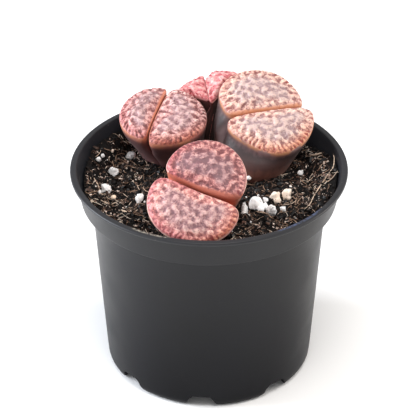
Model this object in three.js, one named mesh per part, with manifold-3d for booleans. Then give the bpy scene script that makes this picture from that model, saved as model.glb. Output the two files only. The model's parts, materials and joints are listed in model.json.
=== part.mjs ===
// A nursery pot of lithops: a thin plastic pot filled with soil, four plants of two fused leaves each,
// and loose grains of perlite half sunk in the soil.
// Millimetres, +Z up. The origin is the middle of the pot's foot, on the surface that the pot stands on.
// The front is towards -Y. Headings are degrees from +X, counted towards +Y.

import * as THREE from "three";
import { mergeVertices } from "three/addons/utils/BufferGeometryUtils.js";
import Module from "manifold-3d";

const wasm = await Module();
wasm.setup();

const TAU = 2 * Math.PI;
const DEGREE = Math.PI / 180;

// Driving dimensions of the pot, which is turned a little so that none of its corners lies on an axis.
const POT_RADIUS = 42.5;
const POT_HEIGHT = 68.2;
const WALL = 0.8;
const LIP_WIDTH = 2.0;
const LIP_THICKNESS = 1.2;
const COLLAR_HEIGHT = 10.0;
const COLLAR_TOP_RADIUS = 40.9;
const COLLAR_LOW_RADIUS = 39.3;
const BODY_TOP_RADIUS = 36.1;
const BODY_LOW_RADIUS = 32.2;
const CORNER_HEIGHT = 4.2;
const FOOT_RADIUS = 30.6;
const FOOT_WIDTH = 1.2;
const FLOOR_UNDERSIDE = 4.6;
const EDGE = 0.4;
const POT_SIDES = 48;
const POT_TURN = 1.7;

// The notches round the foot and the drain holes in the floor.
const NOTCH_COUNT = 8;
const NOTCH_HEADING = -94.5;
const NOTCH_TOP_WIDTH = 6.0;
const NOTCH_LOW_WIDTH = 10.6;
const NOTCH_HEIGHT = 4.1;
const NOTCH_DEPTH = 7;
const DRAIN_COUNT = 4;
const DRAIN_RADIUS = 2.6;
const DRAIN_CIRCLE = 17;

// The soil, which is lower at the left than at the right, and its two banks against the wall.
const SOIL_HEIGHT = 60.0;
const SOIL_SLOPE = 0.03;
const SOIL_LUMP_HEIGHT = 0.45;
const SOIL_LUMP_LENGTH = 9;
const SOIL_DEEPEST_DIP = 1.1;
const SOIL_BANK_WIDTH = 7;
const SOIL_BANK_LOWEST = 0.8;
const SOIL_BANKS = [
  { heading: 150, spread: 46, height: 4.8 },
  { heading: 8, spread: 35, height: 4.2 },
];
const SOIL_RINGS = 11;
const SOIL_SIDES = 42;

// The space left between neighbours that touch in the real thing, and round a root in its hole.
const CLEARANCE = 0.35;
const HOLE_CLEARANCE = 0.75;
const HOLE_SIDES = 32;

// The raised net on the faces: winding ridges inside and short radial ones at the rim.
const NET_WAVES = 7;
const NET_LENGTH = 4.4;
const NET_HEIGHT = 0.3;
const RIM_RIDGES = 15;
const RIM_RIDGE_HEIGHT = 0.28;

// How finely a leaf is divided: round its outline, over its face, round its rim and down its side.
const LEAF_SIDES = 44;
const FACE_RINGS = 8;
const RIM_RINGS = 2;
const SIDE_RINGS = 4;

// Where a leaf's middle lies as a share of its width, the rim's radius along the fissure as a share of the
// rest, how far the two leaves run into each other below the fissure, and how much the root narrows to its
// end.
const LEAF_MIDDLE = 0.46;
const FISSURE_RIM = 0.6;
const FUSED_BY = 1.2;
const ROOT_TAPER = 0.85;

// Each plant: the middle of its face, the heading that the face leans to and by how much, the heading of
// the fissure, half the fissure's opening, its depth and bow, how sharply a leaf's outline turns at its
// ends, the height of the face's dome, the radius of the rim, how full its sides are, how far its spine
// follows the face's lean, the root's middle at the soil and half its length and width, its depth, the
// strength of its net, and the two leaves.
// A leaf's outline is an oval cut off by the fissure. It has half its length along the fissure, its width
// across it, how far the oval's middle lies from the fissure, its slip along the fissure, and the places
// where it is pressed flat: the heading of each about the leaf's own middle, its distance, and how far down
// the side the flat goes, as a share of the side.
const PLANTS = [
  {
    name: "plant_front",
    face: [-2.1, -22.2, 75.0],
    lean: 33,
    leanHeading: -90,
    fissureHeading: -28,
    opening: 0.4,
    fissureDepth: 8,
    bow: -1.3,
    corner: 7,
    dome: 1.6,
    rim: 2.2,
    fullness: 1.0,
    follow: 0.5,
    root: [-3.4, -20.0],
    rootSize: [8.0, 8.0],
    rootDepth: 5,
    net: 0.7,
    seed: 0.7,
    rear: { length: 12.4, width: 16.2, middle: 3.9, slip: -0.6, press: [] },
    front: { length: 14.0, width: 18.4, middle: 5.8, slip: -0.2, press: [] },
  },
  {
    name: "plant_left",
    face: [-15.7, 20.6, 74.8],
    lean: 11,
    leanHeading: -90,
    fissureHeading: 74,
    opening: 0.2,
    fissureDepth: 7,
    bow: 0.7,
    corner: 7,
    dome: 1.6,
    rim: 1.8,
    fullness: 1.5,
    follow: 0.3,
    root: [-12.9, 21.3],
    rootSize: [8.2, 8.6],
    rootDepth: 5,
    net: 1,
    seed: 2.3,
    rear: { length: 12.3, width: 12.2, middle: 1, slip: 0.3, press: [] },
    front: { length: 13.2, width: 15.3, middle: 1, slip: -0.1, press: [] },
  },
  {
    name: "plant_right",
    face: [17.0, 17.4, 77.0],
    lean: 20,
    leanHeading: -90,
    fissureHeading: 11,
    opening: 0.25,
    fissureDepth: 9,
    bow: 0.9,
    corner: 7,
    dome: 1.6,
    rim: 1.7,
    fullness: 1.6,
    follow: 0.2,
    root: [14.0, 13.2],
    rootSize: [11.0, 10.2],
    rootDepth: 5,
    net: 1,
    seed: 4.1,
    rear: {
      length: 14.1,
      width: 18.2,
      middle: 1.5,
      slip: -1.2,
      press: [{ heading: 195, distance: 11.6, down: 0.4 }],
    },
    front: {
      length: 13.7,
      width: 16.4,
      middle: 1.5,
      slip: 1.5,
      press: [{ heading: 48, distance: 8.6, down: 0.4 }],
    },
  },
  {
    name: "plant_back",
    face: [-0.8, 31.4, 77.2],
    lean: 18,
    leanHeading: -135,
    fissureHeading: 96,
    opening: 0.15,
    fissureDepth: 5,
    bow: 0,
    corner: 14,
    dome: 1.2,
    rim: 1.3,
    fullness: 0.7,
    follow: 0.3,
    root: [-1.0, 29.6],
    rootSize: [4.4, 4.4],
    rootDepth: 4,
    net: 0.9,
    seed: 5.6,
    rear: {
      length: 6.5,
      width: 10.2,
      middle: 0,
      slip: 0.4,
      press: [{ heading: 138, distance: 1.0, down: Infinity }],
    },
    front: {
      length: 7.2,
      width: 12.0,
      middle: 0,
      slip: 0.8,
      press: [
        { heading: 45, distance: 1.6, down: Infinity },
        { heading: 225, distance: 6.9, down: Infinity },
      ],
    },
  },
];

// Each grain of perlite: its place on the soil, its half sizes, its turn, and how much of it is sunk.
const GRAIN_SUNK = 0.35;
const GRAIN_LUMP = 0.1;
const PERLITE_GRAINS = [
  { at: [-24.5, 20.2], size: [2.1, 1.2, 1.2], turn: -45 },
  { at: [-34.2, 11.2], size: [0.9, 0.8, 0.9], turn: 0 },
  { at: [-29.7, 10.5], size: [1.9, 1.7, 1.8], turn: 60 },
  { at: [-31.4, 0.2], size: [1.9, 1.8, 1.9], turn: 20 },
  { at: [-21.5, -5.2], size: [1.7, 1.6, 1.7], turn: 80 },
  { at: [14.2, -10.7], size: [2.5, 2.2, 2.1], turn: 35 },
  { at: [18.7, -13.2], size: [2.0, 1.8, 2.2], turn: 70 },
  { at: [20.2, -6.2], size: [1.7, 1.6, 1.7], turn: 10 },
  { at: [23.7, -4.6], size: [1.5, 1.7, 2.0], turn: 0 },
  { at: [28.3, 7.8], size: [1.0, 0.9, 0.9], turn: 30 },
  { at: [10.7, -12.4], size: [1.2, 2.4, 2.1], turn: 10 },
  { at: [22.4, -12.8], size: [0.9, 0.9, 0.8], turn: 0 },
];

const material = (color, roughness) =>
  new THREE.MeshStandardMaterial({ color, roughness, metalness: 0 });

const MATERIALS = {
  pot: material(0x36363b, 0.55),
  soil: material(0x1d1512, 0.95),
  plant_front: material(0xc08a86, 0.5),
  plant_left: material(0xc48a80, 0.5),
  plant_right: material(0xc39a86, 0.5),
  plant_back: material(0xcf6f72, 0.5),
  perlite: material(0xd8d4cd, 0.85),
};

// A closed three.js geometry as a solid that can be joined and cut.
function solidOf(geometry) {
  const bare = geometry.clone();
  bare.deleteAttribute("normal");
  bare.deleteAttribute("uv");
  const merged = mergeVertices(bare, 1e-4);
  return new wasm.Manifold(
    new wasm.Mesh({
      numProp: 3,
      vertProperties: new Float32Array(merged.attributes.position.array),
      triVerts: new Uint32Array(merged.index.array),
    }),
  );
}

// A solid back as a three.js geometry.
function geometryOf(solid) {
  const mesh = solid.getMesh();
  return new THREE.BufferGeometry()
    .setAttribute("position", new THREE.BufferAttribute(mesh.vertProperties, 3))
    .setIndex(new THREE.BufferAttribute(mesh.triVerts, 1));
}

function meshOf(name, solid, look) {
  const flat = geometryOf(solid).toNonIndexed();
  flat.computeVertexNormals();
  const mesh = new THREE.Mesh(flat, look);
  mesh.name = name;
  return mesh;
}

// A lathed solid about Z from a closed profile of [radius, height] points.
function lathed(profile, sides) {
  const points = profile.map(([radius, height]) => new THREE.Vector2(radius, height));
  return new THREE.LatheGeometry(points, sides).rotateX(Math.PI / 2);
}

function smoothstep(low, high, value) {
  const t = Math.min(Math.max((value - low) / (high - low), 0), 1);
  return t * t * (3 - 2 * t);
}

const mix = (a, b, t) => a + (b - a) * t;

// The pot
const LEDGE_HEIGHT = POT_HEIGHT - COLLAR_HEIGHT;
const FLOOR_TOP = FLOOR_UNDERSIDE + WALL;

// Points round the corner between the foot and the body, from the foot up.
function cornerPoints(count) {
  const curve = new THREE.QuadraticBezierCurve(
    new THREE.Vector2(FOOT_RADIUS, 0),
    new THREE.Vector2(BODY_LOW_RADIUS, 0.4),
    new THREE.Vector2(BODY_LOW_RADIUS, CORNER_HEIGHT),
  );
  return curve.getPoints(count).map((point) => [point.x, point.y]);
}

function potSolid() {
  const outside = [
    ...cornerPoints(4),
    [BODY_TOP_RADIUS, LEDGE_HEIGHT],
    [COLLAR_LOW_RADIUS - EDGE, LEDGE_HEIGHT],
    [COLLAR_LOW_RADIUS, LEDGE_HEIGHT + EDGE],
    [COLLAR_TOP_RADIUS, POT_HEIGHT - LIP_THICKNESS - EDGE],
    [POT_RADIUS - EDGE, POT_HEIGHT - LIP_THICKNESS],
    [POT_RADIUS, POT_HEIGHT - LIP_THICKNESS + EDGE],
    [POT_RADIUS, POT_HEIGHT - EDGE],
    [POT_RADIUS - EDGE, POT_HEIGHT],
  ];
  const inside = [
    [POT_RADIUS - LIP_WIDTH + EDGE, POT_HEIGHT],
    [POT_RADIUS - LIP_WIDTH, POT_HEIGHT - EDGE],
    [COLLAR_LOW_RADIUS - WALL, LEDGE_HEIGHT + WALL],
    [BODY_TOP_RADIUS - WALL, LEDGE_HEIGHT - EDGE],
    [BODY_LOW_RADIUS - WALL, FLOOR_TOP + 1],
    [BODY_LOW_RADIUS - WALL - 1, FLOOR_TOP],
    [0, FLOOR_TOP],
    [0, FLOOR_UNDERSIDE],
    [BODY_LOW_RADIUS - FOOT_WIDTH, FLOOR_UNDERSIDE],
    [FOOT_RADIUS - FOOT_WIDTH, 0],
  ];
  const profile = [...outside, ...inside];
  let pot = solidOf(lathed([...profile, profile[0]], POT_SIDES).rotateZ(POT_TURN * DEGREE));
  for (const cutter of [...notchCutters(), ...drainCutters()]) {
    pot = pot.subtract(cutter);
  }
  return pot;
}

// Notches with sloping flanks through the foot, wider at the bottom.
function notchCutters() {
  const below = 1;
  const spread = ((NOTCH_LOW_WIDTH - NOTCH_TOP_WIDTH) / 2) * (1 + below / NOTCH_HEIGHT);
  const outline = new THREE.Shape([
    new THREE.Vector2(-NOTCH_TOP_WIDTH / 2 - spread, -below),
    new THREE.Vector2(NOTCH_TOP_WIDTH / 2 + spread, -below),
    new THREE.Vector2(NOTCH_TOP_WIDTH / 2, NOTCH_HEIGHT),
    new THREE.Vector2(-NOTCH_TOP_WIDTH / 2, NOTCH_HEIGHT),
  ]);
  const cutters = [];
  for (let i = 0; i < NOTCH_COUNT; i++) {
    const heading = (NOTCH_HEADING + (i * 360) / NOTCH_COUNT) * DEGREE;
    const cutter = new THREE.ExtrudeGeometry(outline, { depth: NOTCH_DEPTH, bevelEnabled: false })
      .rotateX(Math.PI / 2)
      .rotateZ(heading + Math.PI / 2)
      .translate(Math.cos(heading) * (FOOT_RADIUS - NOTCH_DEPTH / 2), 0, 0)
      .translate(0, Math.sin(heading) * (FOOT_RADIUS - NOTCH_DEPTH / 2), 0);
    cutters.push(solidOf(cutter));
  }
  return cutters;
}

function drainCutters() {
  const cutters = [];
  for (let i = 0; i < DRAIN_COUNT; i++) {
    const heading = (45 + POT_TURN + (i * 360) / DRAIN_COUNT) * DEGREE;
    const cutter = new THREE.CylinderGeometry(DRAIN_RADIUS, DRAIN_RADIUS, 4 * WALL, 16)
      .rotateX(Math.PI / 2)
      .rotateZ(heading)
      .translate(Math.cos(heading) * DRAIN_CIRCLE, Math.sin(heading) * DRAIN_CIRCLE, FLOOR_TOP);
    cutters.push(solidOf(cutter));
  }
  return cutters;
}

// The soil
const SOIL_RADIUS = COLLAR_LOW_RADIUS - WALL - CLEARANCE;
const COLLAR_INNER_SLOPE = (POT_RADIUS - LIP_WIDTH - COLLAR_LOW_RADIUS + WALL) / (COLLAR_HEIGHT - WALL);

// How far the soil is banked up against the wall in a direction.
function bankAt(x, y) {
  let bank = SOIL_BANK_LOWEST;
  for (const { heading, spread, height } of SOIL_BANKS) {
    const away = Math.acos(Math.cos(Math.atan2(y, x) - heading * DEGREE)) / DEGREE;
    bank += height * (1 - smoothstep(0, spread, away));
  }
  return bank;
}

// The surface's height at a place: a slope with lumps, and the bank at the wall.
function soilHeightAt(x, y) {
  const lumps =
    Math.sin((TAU * x) / SOIL_LUMP_LENGTH + 1.3) * Math.sin((TAU * y) / (SOIL_LUMP_LENGTH * 1.17)) +
    0.7 * Math.sin((TAU * (x + 0.6 * y)) / (SOIL_LUMP_LENGTH * 0.62) + 0.4);
  const rise = Math.max(SOIL_SLOPE * x + SOIL_LUMP_HEIGHT * lumps, -SOIL_DEEPEST_DIP);
  const atWall = smoothstep(SOIL_RADIUS - SOIL_BANK_WIDTH, SOIL_RADIUS, Math.hypot(x, y));
  return SOIL_HEIGHT + rise * mix(1, 0.5, atWall) + bankAt(x, y) * atWall;
}

// A lathed plug that fills the pot, its top rings lifted to the uneven surface. Its edge follows the
// collar's sloping wall.
function soilSolid(plantHoles, grainPits) {
  const profile = [
    [0, FLOOR_TOP + CLEARANCE],
    [BODY_LOW_RADIUS - WALL - 1.2 - CLEARANCE, FLOOR_TOP + CLEARANCE],
    [BODY_LOW_RADIUS - WALL - CLEARANCE, FLOOR_TOP + 1.5],
    [BODY_TOP_RADIUS - WALL - CLEARANCE, LEDGE_HEIGHT - EDGE / 2],
    [SOIL_RADIUS - EDGE / 2, LEDGE_HEIGHT + WALL + EDGE],
  ];
  for (let ring = SOIL_RINGS; ring >= 0; ring--) {
    profile.push([(SOIL_RADIUS * ring) / SOIL_RINGS, SOIL_HEIGHT]);
  }
  const plug = lathed(profile, SOIL_SIDES);
  const places = plug.attributes.position;
  for (let i = 0; i < places.count; i++) {
    if (Math.abs(places.getZ(i) - SOIL_HEIGHT) < 1e-3) {
      const x = places.getX(i);
      const y = places.getY(i);
      const height = soilHeightAt(x, y);
      const atEdge = Math.hypot(x, y) > SOIL_RADIUS - 1e-3;
      const lean = atEdge ? COLLAR_INNER_SLOPE * (height - SOIL_HEIGHT) : 0;
      const stretch = 1 + lean / SOIL_RADIUS;
      places.setXYZ(i, x * stretch, y * stretch, height);
    }
  }
  let soil = solidOf(plug);
  for (const hole of plantHoles) {
    soil = soil.subtract(hole);
  }
  for (const pit of grainPits) {
    soil = soil.subtract(pit);
  }
  return largestBody(soil);
}

function largestBody(solid) {
  const bodies = solid.decompose();
  return bodies.reduce((a, b) => (a.volume() > b.volume() ? a : b));
}

// The plants

// The ridges of the net at a place on the face, from -1 to 1.
function netAt(along, across, seed) {
  let sum = 0;
  for (let i = 0; i < NET_WAVES; i++) {
    const heading = seed + (i * Math.PI) / NET_WAVES;
    const length = NET_LENGTH * (1 + 0.16 * Math.sin(2.1 * i + seed));
    const distance = along * Math.cos(heading) + across * Math.sin(heading);
    sum += Math.cos((TAU * distance) / length + 1.7 * i * i + 3.1 * seed);
  }
  return Math.tanh(0.9 * sum);
}

// A leaf's outline at an angle about its own middle: an oval with a flat side on the fissure, rounded where
// the two meet. It gives the distance from the middle, and how much of it is the flat side's doing.
function outlineAt(plant, leaf, angle, halfLength, width, ovalMiddle, flatAt, level) {
  const middle = LEAF_MIDDLE * width;
  const oval = ovalDistance(angle, halfLength, width - ovalMiddle, middle - ovalMiddle);
  const flat = Math.pow(Math.max(0, -Math.sin(angle)) / (middle - flatAt), plant.corner);
  let sum = flat + Math.pow(1 / oval, plant.corner);
  for (const press of leaf.press) {
    const towards = Math.max(0, Math.cos(angle - press.heading * DEGREE));
    const strength = 1 - smoothstep(0, press.down, level);
    sum += strength * Math.pow(towards / press.distance, plant.corner);
  }
  return { middle, radius: Math.pow(sum, -1 / plant.corner), flatShare: flat / sum };
}

// The distance to an oval along an angle, from a place off its middle.
function ovalDistance(angle, halfLength, halfWidth, offset) {
  const dx = Math.cos(angle) / halfLength;
  const dy = Math.sin(angle) / halfWidth;
  const start = offset / halfWidth;
  const a = dx * dx + dy * dy;
  const b = dy * start;
  const c = start * start - 1;
  return (-b + Math.sqrt(b * b - a * c)) / a;
}

// The three directions of a plant's face: along the fissure, across it, and out of the face.
function faceFrame(plant) {
  const lean = plant.lean * DEGREE;
  const heading = plant.leanHeading * DEGREE;
  const out = new THREE.Vector3(
    Math.sin(lean) * Math.cos(heading),
    Math.sin(lean) * Math.sin(heading),
    Math.cos(lean),
  );
  const fissure = plant.fissureHeading * DEGREE;
  const level = new THREE.Vector3(Math.cos(fissure), Math.sin(fissure), 0);
  const along = level.clone().addScaledVector(out, -level.dot(out)).normalize();
  const across = out.clone().cross(along);
  return { level, along, across, out };
}

// One leaf of a plant as a closed surface: from the middle of its face, over its rim and down to its root.
function leafSolid(plant, leaf, side) {
  const frame = faceFrame(plant);
  const rings = FACE_RINGS + RIM_RINGS + SIDE_RINGS + 2;
  const bare = new THREE.SphereGeometry(1, LEAF_SIDES, rings).rotateX(Math.PI / 2);
  bare.deleteAttribute("normal");
  bare.deleteAttribute("uv");
  const ball = mergeVertices(bare, 1e-5);
  const places = ball.attributes.position;
  for (let i = 0; i < places.count; i++) {
    const unit = new THREE.Vector3().fromBufferAttribute(places, i);
    const polar = Math.acos(Math.min(Math.max(unit.z, -1), 1));
    const ring = Math.round((polar / Math.PI) * rings);
    const angle = Math.atan2(unit.y, unit.x);
    const onFace = ring <= FACE_RINGS + RIM_RINGS;
    const point = onFace
      ? facePoint(plant, leaf, side, frame, ring, angle)
      : sidePoint(plant, leaf, side, frame, ring - FACE_RINGS - RIM_RINGS, angle);
    places.setXYZ(i, point.x, point.y, point.z);
  }
  return solidOf(ball);
}

// A point on the face or its rounded rim, by its ring from the middle outwards.
function facePoint(plant, leaf, side, frame, ring, angle) {
  const outline = outlineAt(plant, leaf, angle, leaf.length, leaf.width, leaf.middle, plant.opening, 0);
  const rim = plant.rim * mix(1, FISSURE_RIM, outline.flatShare);
  const inner = outline.radius - rim;
  const outwards = Math.min(ring / FACE_RINGS, 1);
  const turn = (Math.max(ring - FACE_RINGS, 0) / RIM_RINGS) * (Math.PI / 2);
  const reach = inner * outwards + rim * Math.sin(turn);
  const along = reach * Math.cos(angle);
  const across = outline.middle + reach * Math.sin(angle);
  const dome = plant.dome * (1 - outwards * outwards);
  const relief = reliefAt(plant, side, angle, ring, along, across);
  return placed(plant, leaf, side, frame, along, across, dome + relief - rim * (1 - Math.cos(turn)), 0);
}

// The height of the net's ridges, which turn radial at the rim and fade on the side.
function reliefAt(plant, side, angle, ring, along, across) {
  const outwards = ring / FACE_RINGS;
  const net = netAt(along, side * across, plant.seed + side) * NET_HEIGHT;
  const radial = Math.cos(RIM_RIDGES * angle + plant.seed) * RIM_RIDGE_HEIGHT;
  const atRim = smoothstep(0.68, 0.95, outwards);
  const offMiddle = smoothstep(0, 0.3, outwards);
  const offSide = 1 - smoothstep(1.02, 1.0 + RIM_RINGS / FACE_RINGS, outwards);
  return plant.net * mix(net, radial, atRim) * offMiddle * offSide;
}

// A point on the side by its ring below the rim: down to the soil, then straight down to the root's end,
// with the root's end closed by its middle.
function sidePoint(plant, leaf, side, frame, ring, angle) {
  const level = Math.min(ring / SIDE_RINGS, 1);
  const underSoil = Math.min(Math.max(ring - SIDE_RINGS, 0), 1);
  const taper = mix(1, ROOT_TAPER, underSoil);
  const narrowing = Math.pow(level, plant.fullness);
  const halfLength = mix(leaf.length, plant.rootSize[0], narrowing) * taper;
  const width = mix(leaf.width, plant.rootSize[1], narrowing) * taper;
  const depth = level * sideLength(plant);
  const closing = smoothstep(0.5 * plant.fissureDepth, 1.4 * plant.fissureDepth, depth);
  const flatAt = mix(plant.opening, -FUSED_BY, closing);
  const ovalMiddle = leaf.middle * (1 - narrowing) * taper;
  const outline = outlineAt(plant, leaf, angle, halfLength, width, ovalMiddle, flatAt, level);
  const reach = ring > SIDE_RINGS + 1 ? 0 : outline.radius;
  const along = reach * Math.cos(angle);
  const across = outline.middle + reach * Math.sin(angle);
  return placed(plant, leaf, side, frame, along, across, -plant.rootDepth * underSoil, level);
}

// The middle of a plant's section at the soil.
function rootMiddle(plant) {
  const [x, y] = plant.root;
  return new THREE.Vector3(x, y, SOIL_HEIGHT + SOIL_SLOPE * x);
}

function sideLength(plant) {
  return new THREE.Vector3(...plant.face).distanceTo(rootMiddle(plant));
}

// Turns a place on a section into a point. The sections follow a curve from the face down to the soil, and
// turn from the face's lean to level on the way.
function placed(plant, leaf, side, frame, along, across, rise, level) {
  const face = new THREE.Vector3(...plant.face);
  const top = level > 0 ? face.addScaledVector(frame.out, -plant.rim) : face;
  const root = rootMiddle(plant);
  const pull = sideLength(plant) * plant.follow;
  const spine = new THREE.CubicBezierCurve3(
    top,
    top.clone().addScaledVector(frame.out, -pull),
    root.clone().add(new THREE.Vector3(0, 0, sideLength(plant) * 0.3)),
    root,
  );
  const turn = smoothstep(0, 1, level);
  const out = frame.out.clone().lerp(new THREE.Vector3(0, 0, 1), turn).normalize();
  const ahead = frame.along.clone().lerp(frame.level, turn);
  ahead.addScaledVector(out, -ahead.dot(out)).normalize();
  const sideways = out.clone().cross(ahead);
  const slip = leaf.slip * (1 - turn);
  const inwards = (1 - Math.pow(along / leaf.length, 2)) * (1 - across / leaf.width);
  const bow = plant.bow * (1 - turn) * inwards;
  return spine
    .getPoint(level)
    .addScaledVector(ahead, side * along + slip)
    .addScaledVector(sideways, side * across + bow)
    .addScaledVector(out, rise);
}

// The plain oval hole that a plant's root stands in.
function plantHole(plant) {
  const above = 8;
  const depth = plant.rootDepth + CLEARANCE;
  const middle = rootMiddle(plant);
  const hole = new THREE.CylinderGeometry(1, 1, depth + above, HOLE_SIDES)
    .rotateX(Math.PI / 2)
    .scale(plant.rootSize[0] + HOLE_CLEARANCE, plant.rootSize[1] + HOLE_CLEARANCE, 1)
    .rotateZ(plant.fissureHeading * DEGREE)
    .translate(middle.x, middle.y, middle.z + (above - depth) / 2);
  return solidOf(hole);
}

function plantSolid(plant) {
  const rear = leafSolid(plant, plant.rear, 1);
  const front = leafSolid(plant, plant.front, -1);
  return rear.add(front);
}

// The perlite

// A lumpy grain: a ball of 80 faces, its corners moved in and out by a rule, laid on the soil. Its pit is
// the same ball without dents, grown by the clearance.
function grainSolid(grain, index, grow) {
  const ball = mergeVertices(bareBall(), 1e-5);
  const places = ball.attributes.position;
  const [x, y] = grain.at;
  const sink = GRAIN_SUNK * grain.size[2];
  for (let i = 0; i < places.count; i++) {
    const unit = new THREE.Vector3().fromBufferAttribute(places, i);
    const dent = Math.sin(7 * unit.x + index) * Math.sin(6 * unit.y + 2 * index) * Math.cos(5 * unit.z);
    const scale = 1 + GRAIN_LUMP * (grow > 0 ? 1 : dent);
    places.setXYZ(
      i,
      unit.x * (grain.size[0] * scale + grow),
      unit.y * (grain.size[1] * scale + grow),
      unit.z * (grain.size[2] * scale + grow),
    );
  }
  ball.rotateZ(grain.turn * DEGREE);
  ball.translate(x, y, soilHeightAt(x, y) + grain.size[2] - 2 * sink);
  return solidOf(ball);
}

function bareBall() {
  const ball = new THREE.IcosahedronGeometry(1, 1);
  ball.deleteAttribute("normal");
  ball.deleteAttribute("uv");
  return ball;
}

// The whole object
function pottedLithops() {
  const group = new THREE.Group();
  group.name = "potted_lithops";

  group.add(meshOf("pot", potSolid(), MATERIALS.pot));

  const holes = PLANTS.map((plant) => plantHole(plant));
  const pits = PERLITE_GRAINS.map((grain, i) => grainSolid(grain, i, CLEARANCE));
  group.add(meshOf("soil", soilSolid(holes, pits), MATERIALS.soil));

  const plants = new THREE.Group();
  for (const plant of PLANTS) {
    plants.add(meshOf(plant.name, plantSolid(plant), MATERIALS[plant.name]));
  }
  group.add(plants);

  const perlite = new THREE.Group();
  PERLITE_GRAINS.forEach((grain, i) => {
    const name = "perlite_" + String(i + 1).padStart(2, "0");
    perlite.add(meshOf(name, grainSolid(grain, i, 0), MATERIALS.perlite));
  });
  group.add(perlite);
  return group;
}

export default pottedLithops();
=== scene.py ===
import json
import math

import bmesh
import bpy
import numpy as np
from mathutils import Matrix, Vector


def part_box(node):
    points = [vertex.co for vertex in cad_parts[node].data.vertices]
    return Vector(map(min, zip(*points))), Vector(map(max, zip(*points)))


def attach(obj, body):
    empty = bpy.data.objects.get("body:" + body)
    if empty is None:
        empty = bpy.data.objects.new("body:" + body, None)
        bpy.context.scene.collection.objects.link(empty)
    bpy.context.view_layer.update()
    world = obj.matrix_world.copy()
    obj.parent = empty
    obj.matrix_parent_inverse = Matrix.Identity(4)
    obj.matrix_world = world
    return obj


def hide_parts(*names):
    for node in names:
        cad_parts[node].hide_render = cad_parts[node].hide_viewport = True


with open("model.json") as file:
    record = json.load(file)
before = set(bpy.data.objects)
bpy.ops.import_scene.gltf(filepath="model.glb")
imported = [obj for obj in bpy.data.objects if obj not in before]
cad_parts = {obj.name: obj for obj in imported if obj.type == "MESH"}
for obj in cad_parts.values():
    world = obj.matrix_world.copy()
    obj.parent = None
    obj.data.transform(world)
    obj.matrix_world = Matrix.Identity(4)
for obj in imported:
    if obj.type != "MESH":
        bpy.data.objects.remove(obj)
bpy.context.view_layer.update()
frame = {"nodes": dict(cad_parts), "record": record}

MM = 0.001
TAU = 2 * math.pi
SEED = 11

# The pot's sizes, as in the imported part.
POT_RADIUS = 42.46
POT_HEIGHT = 68.2
WALL = 0.8
LIP_WIDTH = 2.0
LIP_THICKNESS = 1.2
COLLAR_HEIGHT = 10.0
LEDGE = POT_HEIGHT - COLLAR_HEIGHT
COLLAR_TOP_RADIUS = 40.9
COLLAR_LOW_RADIUS = 39.3
BODY_TOP_RADIUS = 36.1
BODY_LOW_RADIUS = 32.2
CORNER_HEIGHT = 4.2
FOOT_RADIUS = 30.6
FOOT_WIDTH = 1.2
FLOOR_UNDERSIDE = 4.6
FLOOR_TOP = FLOOR_UNDERSIDE + WALL

# How many sides the pot has, and how many points make a round corner in its profile.
POT_SIDES = 180
BEND_POINTS = 5

# Notches in the foot ring, and drain holes in the floor.
NOTCH_COUNT = 8
NOTCH_HEADING = -94.5
NOTCH_TOP_WIDTH = 6.0
NOTCH_LOW_WIDTH = 10.6
NOTCH_HEIGHT = 4.1
NOTCH_DEPTH = 7
DRAIN_COUNT = 4
DRAIN_RADIUS = 2.6
DRAIN_CIRCLE = 17
DRAIN_HEADING = 46.7

# Where the lip is rubbed pale at the front left, and where a blue reflection of the sky is painted on it at
# the front right.
WORN_HEADING = -115
PAINTED_REFLECTION_HEADING = -48

# The soil's level and lumps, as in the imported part. Its banks at the wall are (heading, half width in
# degrees, height).
SOIL_HEIGHT = 60.0
SOIL_SLOPE = 0.03
SOIL_LUMP_HEIGHT = 0.45
SOIL_LUMP_LENGTH = 9
SOIL_DEEPEST_DIP = 1.1
SOIL_BANK_WIDTH = 7
SOIL_BANK_LOWEST = 0.8
SOIL_BANKS = [(150, 46, 4.8), (8, 35, 4.2)]
SOIL_RADIUS = 38.15
SOIL_CLEARANCE = 0.35
COLLAR_INNER_SLOPE = 0.217
SOIL_RINGS = 92
SOIL_SIDES = 300

# How much the soil dips round a grain of perlite, and how many bits of litter lie on it.
GRAIN_HOLLOW = 0.8
CHIP_COUNT = 8600
FIBRE_COUNT = 2200
SCATTERED_CRUMBS = 70

# A power below 1 fills out a grain's corners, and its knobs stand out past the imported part's grain.
GRAIN_FULLNESS = 0.85
GRAIN_SWELL = 1.06
CREAMY_GRAINS = ("perlite_08", "perlite_09")

# How finely a leaf is divided. Points that lie closer than the last value once two leaves are joined are
# made one.
LEAF_SIDES = 250
FACE_RINGS = 66
RIM_RINGS = 14
SIDE_RINGS = 36
WELD_DISTANCE = 0.0002

# The leaf's form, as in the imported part: where its own middle lies in its width, how far the two leaves
# run into each other below the fissure, and how much narrower the root is at its end.
LEAF_MIDDLE = 0.46
FUSED_BY = 1.2
ROOT_TAPER = 0.85

# The net on the faces: the spacing and number of waves of its winding ridges, the spacing of the short
# radial ones at the rim, how far in from the rim they reach, and their height.
NET_LENGTH = 2.7
NET_WAVES = 24
RIM_RIDGE_LENGTH = 1.75
RIM_RIDGE_REACH = 3.0
NET_HEIGHT = 0.3

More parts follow.
